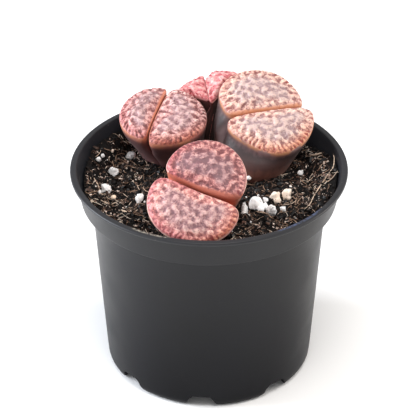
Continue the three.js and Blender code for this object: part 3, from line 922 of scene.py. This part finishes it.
def soil_height(x, y):
    """The soil's level in millimetres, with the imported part's lumps and a finer crumble."""
    x = np.asarray(x, float)
    y = np.asarray(y, float)
    length = SOIL_LUMP_LENGTH
    lumps = np.sin(TAU * x / length + 1.3) * np.sin(TAU * y / (length * 1.17))
    lumps = lumps + 0.7 * np.sin(TAU * (x + 0.6 * y) / (length * 0.62) + 0.4)
    rise = SOIL_SLOPE * x + SOIL_LUMP_HEIGHT * lumps
    at_wall = smoothstep(SOIL_RADIUS - SOIL_BANK_WIDTH, SOIL_RADIUS, np.hypot(x, y))
    level = np.maximum(rise, -SOIL_DEEPEST_DIP) * mix(1, 0.5, at_wall)
    crumble = 0.42 * lattice_noise(x, y, 2.3, 5) + 0.3 * lattice_noise(x, y, 1.1, 6)
    crumble = crumble + 0.16 * lattice_noise(x, y, 0.55, 7)
    hollow = 0
    for middle, reach in GRAINS:
        away = np.hypot(x - middle[0], y - middle[1])
        hollow = np.maximum(hollow, GRAIN_HOLLOW * (1 - smoothstep(reach, reach + 2, away)))
    return SOIL_HEIGHT + level + bank_height(x, y) * at_wall + crumble - hollow


def soil_point(x, y):
    """A place on the soil as a point. The banks lean out with the collar's wall."""
    height = soil_height(x, y)
    at_edge = smoothstep(SOIL_RADIUS - 3, SOIL_RADIUS, np.hypot(x, y))
    stretch = 1 + COLLAR_INNER_SLOPE * np.maximum(height - SOIL_HEIGHT - 0.6, 0) * at_edge / SOIL_RADIUS
    return np.stack([x * stretch, y * stretch, height], -1)


def make_soil():
    """The soil as one closed body, which keeps clear of the pot's wall and floor."""
    wall = WALL + SOIL_CLEARANCE
    bottom = FLOOR_TOP + SOIL_CLEARANCE
    below = [
        (BODY_LOW_RADIUS - wall - 1.2, bottom),
        (BODY_LOW_RADIUS - wall, FLOOR_TOP + 1.5),
        (BODY_TOP_RADIUS - wall, LEDGE - 0.4),
        (SOIL_RADIUS - 0.3, LEDGE + WALL + 0.3),
    ]
    angles = np.arange(SOIL_SIDES) * TAU / SOIL_SIDES
    cosines = np.cos(angles)
    sines = np.sin(angles)
    points = [np.array([[0, 0, bottom]])]
    for radius, height in below:
        points.append(np.stack([radius * cosines, radius * sines, np.full(SOIL_SIDES, height)], 1))
    for ring in range(SOIL_RINGS, 0, -1):
        radius = SOIL_RADIUS * ring / SOIL_RINGS
        x = radius * cosines
        y = radius * sines
        points.append(soil_point(x, y))
    points.append(soil_point(np.zeros(1), np.zeros(1)))
    faces = capped_faces(len(below) + SOIL_RINGS, SOIL_SIDES)
    mesh = new_mesh("soil_bed", np.concatenate(points), faces)
    smooth(mesh, 60)
    return piece(new_object("soil_bed", mesh, soil_material()), "soil", "soil")


# The litter on the soil

def under_plant(plant, x, y):
    """Whether a plant stands on a place on the soil."""
    turn = math.radians(plant["fissure_heading"])
    dx = x - plant["root"][0]
    dy = y - plant["root"][1]
    u = (dx * math.cos(turn) + dy * math.sin(turn)) / (plant["root_size"][0] + 0.3)
    v = (-dx * math.sin(turn) + dy * math.cos(turn)) / (plant["root_size"][1] + 0.3)
    return u * u + v * v <= 1


def open_places(rng, count, reach=SOIL_RADIUS - 0.4):
    """Random places on the soil that no plant stands on."""
    places = []
    while len(places) < count:
        radius = reach * math.sqrt(rng.random())
        heading = TAU * rng.random()
        x = radius * math.cos(heading)
        y = radius * math.sin(heading)
        if not any(under_plant(plant, x, y) for plant in PLANTS):
            places.append((x, y))
    return np.array(places)


def random_turn(rng, tilt):
    """A turn matrix: any heading, and a lean of up to tilt radians."""
    heading = TAU * rng.random()
    lean = tilt * rng.uniform(-1, 1)
    roll = tilt * rng.uniform(-1, 1)
    cz, sz = math.cos(heading), math.sin(heading)
    cy, sy = math.cos(lean), math.sin(lean)
    cx, sx = math.cos(roll), math.sin(roll)
    about_z = np.array([[cz, -sz, 0], [sz, cz, 0], [0, 0, 1]])
    about_y = np.array([[cy, 0, sy], [0, 1, 0], [-sy, 0, cy]])
    about_x = np.array([[1, 0, 0], [0, cx, -sx], [0, sx, cx]])
    return about_z @ about_y @ about_x


def painted_shade_between_plants(x, y):
    """How light the litter is: most near the wall, and less between the plants, as painted shade."""
    return mix(0.72, 1.08, smoothstep(12, 33, np.hypot(x, y)))


class Litter:
    """Many small closed solids that make one mesh, each with its own shade."""

    def __init__(self):
        self.points = []
        self.faces = []
        self.shades = []
        self.count = 0

    def put(self, points, faces, shade):
        self.points.append(points)
        self.faces.extend(tuple(i + self.count for i in face) for face in faces)
        self.shades.append(np.full(len(points), shade))
        self.count += len(points)

    def made(self, name, material, slot, angle=35):
        mesh = new_mesh(name, np.concatenate(self.points), self.faces)
        store(mesh, "shade", np.concatenate(self.shades))
        smooth(mesh, angle)
        return piece(new_object(name, mesh, material), slot)


def chip_shape(rng, length, width, thickness):
    """A flat shard with six uneven corners and a smaller top."""
    corners = 6
    angles = (np.arange(corners) + rng.uniform(-0.3, 0.3, corners)) * TAU / corners
    reach = rng.uniform(0.65, 1.1, corners)
    x = np.cos(angles) * reach * length / 2
    y = np.sin(angles) * reach * width / 2
    under = np.full(corners, -thickness / 2) + rng.uniform(-0.1, 0.1, corners) * thickness
    low = np.stack([x, y, under], 1)
    top = np.stack([x * 0.75, y * 0.75, np.full(corners, thickness / 2)], 1)
    return np.concatenate([low, top]), tube_faces(2, corners)


def make_chips(rng):
    """Crumbs and shards of peat and bark."""
    litter = Litter()
    for x, y in open_places(rng, CHIP_COUNT):
        size = 0.25 + 1.5 * rng.random() ** 4
        length = size * rng.uniform(0.9, 2.2)
        points, faces = chip_shape(rng, length, size * rng.uniform(0.5, 0.9), size * rng.uniform(0.25, 0.6))
        points = points @ random_turn(rng, 0.9).T
        place = soil_point(x, y) + (0, 0, rng.uniform(-0.1, 0.35))
        lightest = 1 - 0.5 * smoothstep(0.7, 1.4, size)
        # The chips between the plants are darkened as painted shade.
        litter.put(points + place, faces, lightest * painted_shade_between_plants(x, y) * rng.random() ** 1.2)
    tones = [(3, 2, 2), (12, 8, 7), (130, 98, 84), (255, 236, 222)]
    stops = colour_stops(tones, (0.0, 0.45, 0.7, 0.95))
    return litter.made("soil_chips", litter_material("peat", stops, 0.28), "soil")


def fibre_shape(route, radius, sides=5):
    """A closed thin tube along a route of points, tapered at both ends."""
    route = np.asarray(route, float)
    count = len(route)
    ahead = np.gradient(route, axis=0)
    ahead /= np.linalg.norm(ahead, axis=1)[:, None]
    side = np.cross(ahead, (0.1, 0.2, 1.0))
    side /= np.linalg.norm(side, axis=1)[:, None]
    up = np.cross(ahead, side)
    angles = np.arange(sides) * TAU / sides
    share = np.linspace(0, 1, count)
    thick = radius * (0.35 + 0.65 * np.sin(np.pi * np.clip(share, 0.02, 0.98)) ** 0.5)
    rings = route[:, None] + thick[:, None, None] * (
        np.cos(angles)[None, :, None] * side[:, None] + np.sin(angles)[None, :, None] * up[:, None]
    )
    return rings.reshape(-1, 3), tube_faces(count, sides)


def make_fibres(rng):
    """Short curled wisps of coir and peat, most of them lying flat."""
    litter = Litter()
    for x, y in open_places(rng, FIBRE_COUNT, SOIL_RADIUS - 1.2):
        length = 0.8 + 3.6 * rng.random() ** 2.5
        heading = TAU * rng.random()
        curl = rng.normal(0, 0.5)
        t = np.linspace(-0.5, 0.5, 7)
        bend = heading + curl * t * 2
        steps = np.stack([np.cos(bend), np.sin(bend)], 1) * length / 6
        route_x = x + np.cumsum(steps[:, 0]) - steps[:, 0].sum() / 2
        route_y = y + np.cumsum(steps[:, 1]) - steps[:, 1].sum() / 2
        lift = 0.3 + rng.uniform(0, 0.4) + rng.uniform(-0.5, 0.9) * t
        route = soil_point(route_x, route_y)
        route[:, 2] = mix(route[:, 2], route[3, 2], 0.4) + lift
        points, faces = fibre_shape(route, rng.uniform(0.04, 0.11))
        # The fibres between the plants are darkened as painted shade.
        litter.put(points, faces, painted_shade_between_plants(x, y) * rng.random() ** 1.3)
    tones = [(20, 13, 11), (84, 60, 48), (196, 160, 134), (255, 238, 218)]
    stops = colour_stops(tones, (0.0, 0.4, 0.75, 1.0))
    return litter.made("soil_fibres", litter_material("fibre", stops, 0.45), "soil", 60)


# Pale roots that lie on the soil: places in millimetres, and how thick and how light each is.
LONG_ROOT = [
    (37.5, 11.5), (37.6, 7.5), (37.2, 2.8), (36.2, 0.5),
    (33.5, -3.0), (31.8, -6.8), (30.6, -11.0), (28.9, -12.6),
]
ROOTS = [
    {"route": LONG_ROOT, "radius": 0.19, "shade": 0.9},
    {"route": [(38.3, 0.8), (37.0, -1.4), (35.6, -2.2)], "radius": 0.15, "shade": 0.5},
    {"route": [(31.6, 14.8), (33.0, 13.8), (34.6, 13.3)], "radius": 0.34, "shade": 0.45},
    {"route": [(-26.6, -11.4), (-25.8, -12.2), (-24.9, -12.8)], "radius": 0.3, "shade": 1.0},
    {"route": [(-35.4, 3.4), (-34.2, 1.4), (-33.4, -1.0)], "radius": 0.2, "shade": 0.8},
    {"route": [(-33.0, -6.4), (-30.4, -7.2), (-28.0, -7.6)], "radius": 0.22, "shade": 0.75},
]


def smooth_route(corners, count):
    """Points along a smooth curve through a few corners."""
    corners = np.asarray(corners, float)
    padded = np.vstack([2 * corners[0] - corners[1], corners, 2 * corners[-1] - corners[-2]])
    points = []
    for s in np.linspace(0, len(corners) - 1 - 1e-6, count):
        i = int(s)
        t = s - i
        a, b, c, d = padded[i : i + 4]
        square = 2 * a - 5 * b + 4 * c - d
        cube = 3 * b - a - 3 * c + d
        points.append(0.5 * (2 * b + (c - a) * t + square * t * t + cube * t**3))
    return np.array(points)


def make_roots():
    """The pale roots, laid along the soil."""
    litter = Litter()
    for root in ROOTS:
        corners = soil_point(*np.transpose(root["route"])) + (0, 0, 0.7 * root["radius"] + 0.25)
        points, faces = fibre_shape(smooth_route(corners, 10 * len(corners)), root["radius"], 8)
        litter.put(points, faces, root["shade"])
    stops = colour_stops([(90, 66, 54), (240, 214, 190)], (0.0, 1.0))
    return litter.made("pale_roots", litter_material("pale_root", stops, 0.5), "soil", 60)


# The perlite

def divided(points, faces):
    """A ball's faces cut in four. The new corners are added to its points, out on the ball."""
    middles = {}

    def middle(a, b):
        key = (min(a, b), max(a, b))
        if key not in middles:
            middles[key] = len(points)
            halfway = points[a] + points[b]
            points.append(halfway / np.linalg.norm(halfway))
        return middles[key]

    finer = []
    for a, b, c in faces:
        ab = middle(a, b)
        bc = middle(b, c)
        ca = middle(c, a)
        finer += [(a, ab, ca), (b, bc, ab), (c, ca, bc), (ab, bc, ca)]
    return finer


def ball(level):
    """The corners and faces of an even ball of radius 1: a solid of 20 faces, divided level times."""
    golden = (1 + 5**0.5) / 2
    points = [
        (-1, golden, 0), (1, golden, 0), (-1, -golden, 0), (1, -golden, 0),
        (0, -1, golden), (0, 1, golden), (0, -1, -golden), (0, 1, -golden),
        (golden, 0, -1), (golden, 0, 1), (-golden, 0, -1), (-golden, 0, 1),
    ]
    faces = [
        (0, 11, 5), (0, 5, 1), (0, 1, 7), (0, 7, 10), (0, 10, 11),
        (1, 5, 9), (5, 11, 4), (11, 10, 2), (10, 7, 6), (7, 1, 8),
        (3, 9, 4), (3, 4, 2), (3, 2, 6), (3, 6, 8), (3, 8, 9),
        (4, 9, 5), (2, 4, 11), (6, 2, 10), (8, 6, 7), (9, 8, 1),
    ]
    points = [np.array(p, float) / np.linalg.norm(p) for p in points]
    for _ in range(level):
        faces = divided(points, faces)
    return np.array(points), faces


def lumpy(points, rng, lumps, depth):
    """A ball's points pulled in and out by a few flat cuts and knobs, as a crumb of foam."""
    result = points.copy()
    for _ in range(lumps):
        out = rng.normal(size=3)
        out /= np.linalg.norm(out)
        facing = points @ out
        if rng.random() < 0.5:
            cut = rng.uniform(0.8, 0.97)
            over = np.maximum(result @ out - cut, 0)
            result = result - 0.85 * over[:, None] * out
        else:
            knob = rng.uniform(0.3, 1.0) * depth
            narrow = rng.uniform(0.7, 0.9)
            result = result + (knob * smoothstep(narrow, 1.0, facing))[:, None] * out
    ripple = 1 + 0.05 * np.sin(points @ rng.normal(0, 5, 3)) * np.sin(points @ rng.normal(0, 6, 3))
    return result * ripple[:, None]


def make_perlite(rng):
    """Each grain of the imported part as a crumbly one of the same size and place."""
    material = perlite_material()
    for name in GRAIN_NAMES:
        low, high = (np.array(corner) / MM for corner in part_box(name))
        middle = (low + high) / 2
        half = (high - low) / 2
        points, faces = ball(4)
        points = np.sign(points) * np.abs(points) ** GRAIN_FULLNESS
        points = lumpy(points, rng, 26, 0.34)
        points = points / np.abs(points).max(0) * half * GRAIN_SWELL
        mesh = new_mesh(name + "_grain", points + middle, faces)
        store(mesh, "shade", np.full(len(points), 0.75 if name in CREAMY_GRAINS else 0.08))
        smooth(mesh, 45)
        piece(new_object(name + "_grain", mesh, material), "perlite", name)
    return material


def make_crumbs(rng, material):
    """Small loose perlite, some of it at listed places and the rest scattered."""
    litter = Litter()
    shape, faces = ball(2)
    crumbs = list(PERLITE_CRUMBS)
    for x, y in open_places(rng, SCATTERED_CRUMBS, SOIL_RADIUS - 1.5):
        crumbs.append((x, y, 0.14 + 0.3 * rng.random() ** 2, 0.0, rng.uniform(0.1, 0.4)))
    for x, y, size, lodged, creamy in crumbs:
        points = lumpy(shape, rng, 10, 0.3) * size * rng.uniform(0.75, 1.1, 3)
        place = soil_point(x, y) + (0, 0, 0.5 * size + lodged)
        litter.put(points + place, faces, creamy)
    return litter.made("perlite_crumbs", material, "perlite", 45)


# The plants

def face_frame(plant):
    """The directions of a plant's face: level along the fissure, along it, and out of the face."""
    lean = math.radians(plant["lean"])
    heading = math.radians(plant["lean_heading"])
    out = np.array([math.sin(lean) * math.cos(heading), math.sin(lean) * math.sin(heading), math.cos(lean)])
    fissure = math.radians(plant["fissure_heading"])
    level = np.array([math.cos(fissure), math.sin(fissure), 0.0])
    along = level - out * (level @ out)
    return level, along / np.linalg.norm(along), out


def leaf_outline(plant, leaf, angle, half_length, width, oval_middle, flat_at, level):
    """A leaf's outline at angles about its own middle: an oval with a flat side on the fissure.

    It returns that middle, the outline's radius, and how much of the radius is the flat side's doing.
    """
    power = plant["corner"]
    middle = LEAF_MIDDLE * width
    dx = np.cos(angle) / half_length
    dy = np.sin(angle) / (width - oval_middle)
    start = (middle - oval_middle) / (width - oval_middle)
    a = dx * dx + dy * dy
    b = dy * start
    oval = (-b + np.sqrt(b * b - a * (start * start - 1))) / a
    flat = (np.maximum(0, -np.sin(angle)) / (middle - flat_at)) ** power
    total = flat + (1 / oval) ** power
    for heading, distance, down in leaf["press"]:
        towards = np.maximum(0, np.cos(angle - math.radians(heading)))
        total = total + (1 - smoothstep(0, down, level)) * (towards / distance) ** power
    return middle, total ** (-1 / power), flat / total


def root_middle(plant):
    """Where a plant leaves the soil."""
    x, y = plant["root"]
    return np.array([x, y, SOIL_HEIGHT + SOIL_SLOPE * x])


def placed(plant, leaf, side, along, across, rise, level):
    """Turns places on sections into points. The sections follow a curve from the face down to the soil."""
    flat, ahead, out = face_frame(plant)
    root = root_middle(plant)
    face = np.array(plant["face"])
    length = np.linalg.norm(face - root)
    top = np.where(level[..., None] > 0, face - out * plant["rim"], face)
    low = top - out * length * plant["follow"]
    high = root + (0, 0, 0.3 * length)
    t = level[..., None]
    spine = (1 - t) ** 3 * top + 3 * t * (1 - t) ** 2 * low + 3 * t * t * (1 - t) * high + t**3 * root
    turn = smoothstep(0, 1, level)[..., None]
    out_here = mix(out, np.array([0, 0, 1.0]), turn)
    out_here = out_here / np.linalg.norm(out_here, axis=-1, keepdims=True)
    ahead_here = mix(ahead, flat, turn)
    ahead_here = ahead_here - out_here * np.sum(ahead_here * out_here, -1, keepdims=True)
    ahead_here = ahead_here / np.linalg.norm(ahead_here, axis=-1, keepdims=True)
    sideways = np.cross(out_here, ahead_here)
    straight = 1 - turn[..., 0]
    slip = leaf["slip"] * straight
    bow = plant["bow"] * straight * (1 - (along / leaf["length"]) ** 2) * (1 - across / leaf["width"])
    return (
        spine
        + ahead_here * (side * along + slip)[..., None]
        + sideways * (side * across + bow)[..., None]
        + out_here * rise[..., None]
    )


def winding_net(x, y, seed):
    """Winding ridges of one spacing all over a plane, about -1 to 1."""
    rng = np.random.default_rng(100 + seed)
    warp_x = x + 0.5 * lattice_noise(x, y, 3.1, seed + 20)
    warp_y = y + 0.5 * lattice_noise(x, y, 3.1, seed + 40)
    total = 0
    for i in range(NET_WAVES):
        heading = (i + rng.uniform(-0.4, 0.4)) * math.pi / NET_WAVES
        length = NET_LENGTH * rng.uniform(0.8, 1.25)
        ahead = warp_x * math.cos(heading) + warp_y * math.sin(heading)
        total = total + np.cos(TAU * ahead / length + TAU * rng.random())
    return total * math.sqrt(2 / NET_WAVES)


def rim_net(share, inwards, perimeter, seed):
    """Short ridges that stand square to the rim, by the share of the way round and the distance inwards."""
    rng = np.random.default_rng(200 + seed)
    waves = 10
    total = 0
    for _ in range(waves):
        turns = round(perimeter / RIM_RIDGE_LENGTH * rng.uniform(0.8, 1.2))
        slant = rng.choice((-1, 1)) / rng.uniform(4.0, 9.0)
        total = total + np.cos(TAU * (turns * share + slant * inwards + rng.random()))
    return total * math.sqrt(2 / waves)


LEAF_ANGLES = np.arange(LEAF_SIDES) * TAU / LEAF_SIDES


def leaf_face(plant, leaf, side, seed):
    """The points of a leaf's face and rounded edge, ring by ring, and their numbers for the material."""
    oval = (leaf["length"], leaf["width"], leaf["middle"], plant["opening"])
    middle, radius, flat_share = leaf_outline(plant, leaf, LEAF_ANGLES, *oval, 0)
    edge_x = radius * np.cos(LEAF_ANGLES)
    edge_y = radius * np.sin(LEAF_ANGLES)
    steps = np.hypot(np.roll(edge_x, -1) - edge_x, np.roll(edge_y, -1) - edge_y)
    perimeter = steps.sum()
    share = (np.cumsum(steps) - steps) / perimeter
    rim = plant["rim"] * (1 - flat_share) + leaf["crack_rim"] * flat_share

    # The rings grow out to the edge, and then turn down over it.
    outwards = np.concatenate([np.linspace(0, 1, FACE_RINGS + 1)[1:], np.ones(RIM_RINGS)])[:, None]
    turn = np.concatenate([np.zeros(FACE_RINGS), np.linspace(0, math.pi / 2, RIM_RINGS + 1)[1:]])[:, None]
    reach = (radius - rim) * outwards + rim * np.sin(turn)
    along = reach * np.cos(LEAF_ANGLES)
    across = middle + reach * np.sin(LEAF_ANGLES)
    inwards = radius - reach
    edge = inwards - np.maximum(rim * turn - rim, 0)
    share_along = np.clip(side * along / leaf["length"], -1, 1)
    band = np.interp(share_along, (-1, 0, 1), leaf["band"])
    from_crack = np.maximum(across - plant["opening"], 0) / band
    at_crack = 1 - smoothstep(0.15, 1.3, from_crack)

    # The net in the middle, and the short ridges at the rim.
    net = winding_net(along + 3.7 * side, across, seed)
    short = rim_net(share, inwards, perimeter, seed)
    near_rim = smoothstep(RIM_RIDGE_REACH, 1.1, inwards) * (1 - flat_share)
    field = np.tanh(1.1 * mix(net, short, 0.55 * near_rim))
    fade = (1 - smoothstep(0.45, 1.0, turn / (math.pi / 2))) * (1 - 0.9 * at_crack)
    swell = 0.22 * lattice_noise(along + 7, across + 3, 6.0, seed)
    relief = (plant["net"] * NET_HEIGHT * field + swell) * fade * smoothstep(0, 0.08, outwards)
    rise = plant["dome"] * (1 - outwards**2) + relief - rim * (1 - np.cos(turn))
    points = placed(plant, leaf, side, along, across, rise, np.zeros_like(reach))
    numbers = {
        "net": field * fade,
        "edge": edge,
        "dash": smoothstep(0.35, 1.1, -short) * near_rim * fade,
        "crack": at_crack * leaf["glow"],
    }
    return points, numbers


def leaf_side(plant, leaf, side):
    """The points of a leaf's side down to the soil and of its root below, and their numbers, likewise."""
    levels = np.concatenate([np.linspace(0, 1, SIDE_RINGS + 1)[1:], np.ones(2)])[:, None]
    under = np.concatenate([np.zeros(SIDE_RINGS), [0.5, 1.0]])[:, None]
    taper = mix(1, ROOT_TAPER, under)
    narrowing = levels ** plant["fullness"]
    half_length = mix(leaf["length"], plant["root_size"][0], narrowing) * taper
    width = mix(leaf["width"], plant["root_size"][1], narrowing) * taper
    depth = levels * np.linalg.norm(np.array(plant["face"]) - root_middle(plant))
    closing = smoothstep(0.5 * plant["fissure_depth"], 1.4 * plant["fissure_depth"], depth)
    flat_at = mix(plant["opening"], -FUSED_BY, closing)
    oval_middle = leaf["middle"] * (1 - narrowing) * taper
    oval = (half_length, width, oval_middle, flat_at)
    middle, radius, flat_share = leaf_outline(plant, leaf, LEAF_ANGLES, *oval, levels)
    along = radius * np.cos(LEAF_ANGLES)
    across = middle + radius * np.sin(LEAF_ANGLES)
    every = np.ones_like(radius)
    points = placed(plant, leaf, side, along, across, -plant["root_depth"] * under * every, levels * every)
    crack = np.exp(-np.maximum(across - flat_at, 0) / 0.9)
    crack = crack * smoothstep(0.7 * plant["fissure_depth"], 0.2, depth)
    numbers = {
        "edge": -depth - 1.0,
        "crack": crack * leaf["glow"],
        "wall": smoothstep(0.1, 0.7, flat_share) * smoothstep(0.9, 0.7, under),
        "level": levels,
    }
    return points, numbers


def leaf_end(plant, leaf, side, width, rise, level):
    """The point in the middle of a leaf's face, at level 0, or of its root's end, at level 1."""
    across = np.array([LEAF_MIDDLE * width])
    return placed(plant, leaf, side, np.zeros(1), across, np.array([rise]), np.full(1, float(level)))


def leaf_mesh(plant, leaf, side, seed):
    """One leaf as a closed mesh, with the numbers that its material reads."""
    face_points, face_numbers = leaf_face(plant, leaf, side, seed)
    side_points, side_numbers = leaf_side(plant, leaf, side)
    top = leaf_end(plant, leaf, side, leaf["width"], plant["dome"], 0)
    end = leaf_end(plant, leaf, side, plant["root_size"][1], -plant["root_depth"], 1)
    points = np.concatenate([top, face_points.reshape(-1, 3), side_points.reshape(-1, 3), end])
    faces = capped_faces(len(face_points) + len(side_points), LEAF_SIDES)
    mesh = new_mesh("leaf", points, [face[::-1] for face in faces])

    parts = [
        (top.shape[:1], {"edge": 10}),
        (face_points.shape[:2], face_numbers),
        (side_points.shape[:2], side_numbers),
        (end.shape[:1], {"edge": -20, "level": 1}),
    ]
    for name in ("net", "edge", "dash", "crack", "wall", "level"):
        values = [np.broadcast_to(numbers.get(name, 0), shape).ravel() for shape, numbers in parts]
        store(mesh, name, np.concatenate(values))
    store(mesh, "bright", np.full(len(points), leaf["bright"]))
    # Masks for the rim's painted light and shade: its lowest part gets painted shade, and the part left of
    # the right side gets a painted cool tint.
    store(mesh, "low", smoothstep(1, 10, plant["face"][1] - points[:, 1]))
    store(mesh, "warm", smoothstep(-9, 3, points[:, 0] - plant["face"][0]))
    return mesh


def make_plant(plant):
    """A plant's two leaves, joined into one piece."""
    seed = 10 * plant["seed"]
    rear = new_object("lithops_" + plant["look"], leaf_mesh(plant, plant["leaves"][0], 1, seed))
    front = new_object("leaf", leaf_mesh(plant, plant["leaves"][1], -1, seed + 1))
    made = boolean(rear, [front], "UNION")
    made.data = welded(made.data)
    smooth(made.data, 70)
    made.data.materials.clear()
    made.data.materials.append(leaf_material(plant["look"]))
    slots = {entry["node"]: entry["material_slot"] for entry in frame["record"]["subparts"]}
    return piece(made, slots[plant["name"]], plant["name"])


# The studio

CAMERA_PLACE = (-0.0003, -0.6365, 0.4694)
CAMERA_PITCH = 56.8
CAMERA_LENS = 213.26


def make_camera():
    data = bpy.data.cameras.new("camera")
    data.lens = CAMERA_LENS
    data.sensor_width = 36
    camera = bpy.data.objects.new("camera", data)
    camera.location = CAMERA_PLACE
    camera.rotation_euler = (math.radians(CAMERA_PITCH), 0, 0)
    bpy.context.scene.collection.objects.link(camera)
    bpy.context.scene.camera = camera


def make_floor():
    half = 2000
    corners = [(-half, -half, 0), (half, -half, 0), (half, half, 0), (-half, half, 0)]
    mesh = new_mesh("floor", corners, [(0, 1, 2, 3)])
    look = Look("floor")
    tone = look.ramp(look.noise(400.0, 1.0), [(0.3, rgb(250, 250, 250)), (0.7, rgb(253, 253, 253))])
    floor = new_object("floor", mesh, look.finish(colour=tone, roughness=0.9, specular=0.1))


def area_light(name, place, target, size, power, colour):
    data = bpy.data.lights.new(name, "AREA")
    data.shape = "RECTANGLE"
    data.size, data.size_y = size
    data.energy = power
    data.color = colour
    light = bpy.data.objects.new(name, data)
    light.location = place
    away = np.array(place) - np.array(target)
    light.rotation_euler = (
        math.atan2(math.hypot(away[0], away[1]), away[2]),
        0,
        math.atan2(away[1], away[0]) + math.pi / 2,
    )
    bpy.context.scene.collection.objects.link(light)


def make_lights():
    world = bpy.data.worlds.new("studio")
    bpy.context.scene.world = world
    world.use_nodes = True
    background = world.node_tree.nodes["Background"]
    background.inputs["Color"].default_value = (1, 1, 1, 1)
    background.inputs["Strength"].default_value = 0.6
    aim = (0, 0, 0.06)
    area_light("above", (0.05, -0.25, 0.8), aim, (0.35, 0.35), 3.4, (1.0, 0.97, 0.94))
    area_light("left", (-0.76, 0.04, 0.3), aim, (0.4, 0.7), 11.5, (0.88, 0.93, 1.0))
    area_light("right", (0.72, 0.16, 0.32), aim, (0.25, 0.6), 3.6, (1.0, 0.94, 0.88))
    bpy.context.scene.view_settings.view_transform = "Standard"


make_camera()
make_floor()
make_lights()
make_pot()
make_soil()
for plant_row in PLANTS:
    make_plant(plant_row)
perlite = make_perlite(np.random.default_rng(SEED))
make_crumbs(np.random.default_rng(SEED + 1), perlite)
make_chips(np.random.default_rng(SEED + 2))
make_fibres(np.random.default_rng(SEED + 3))
make_roots()
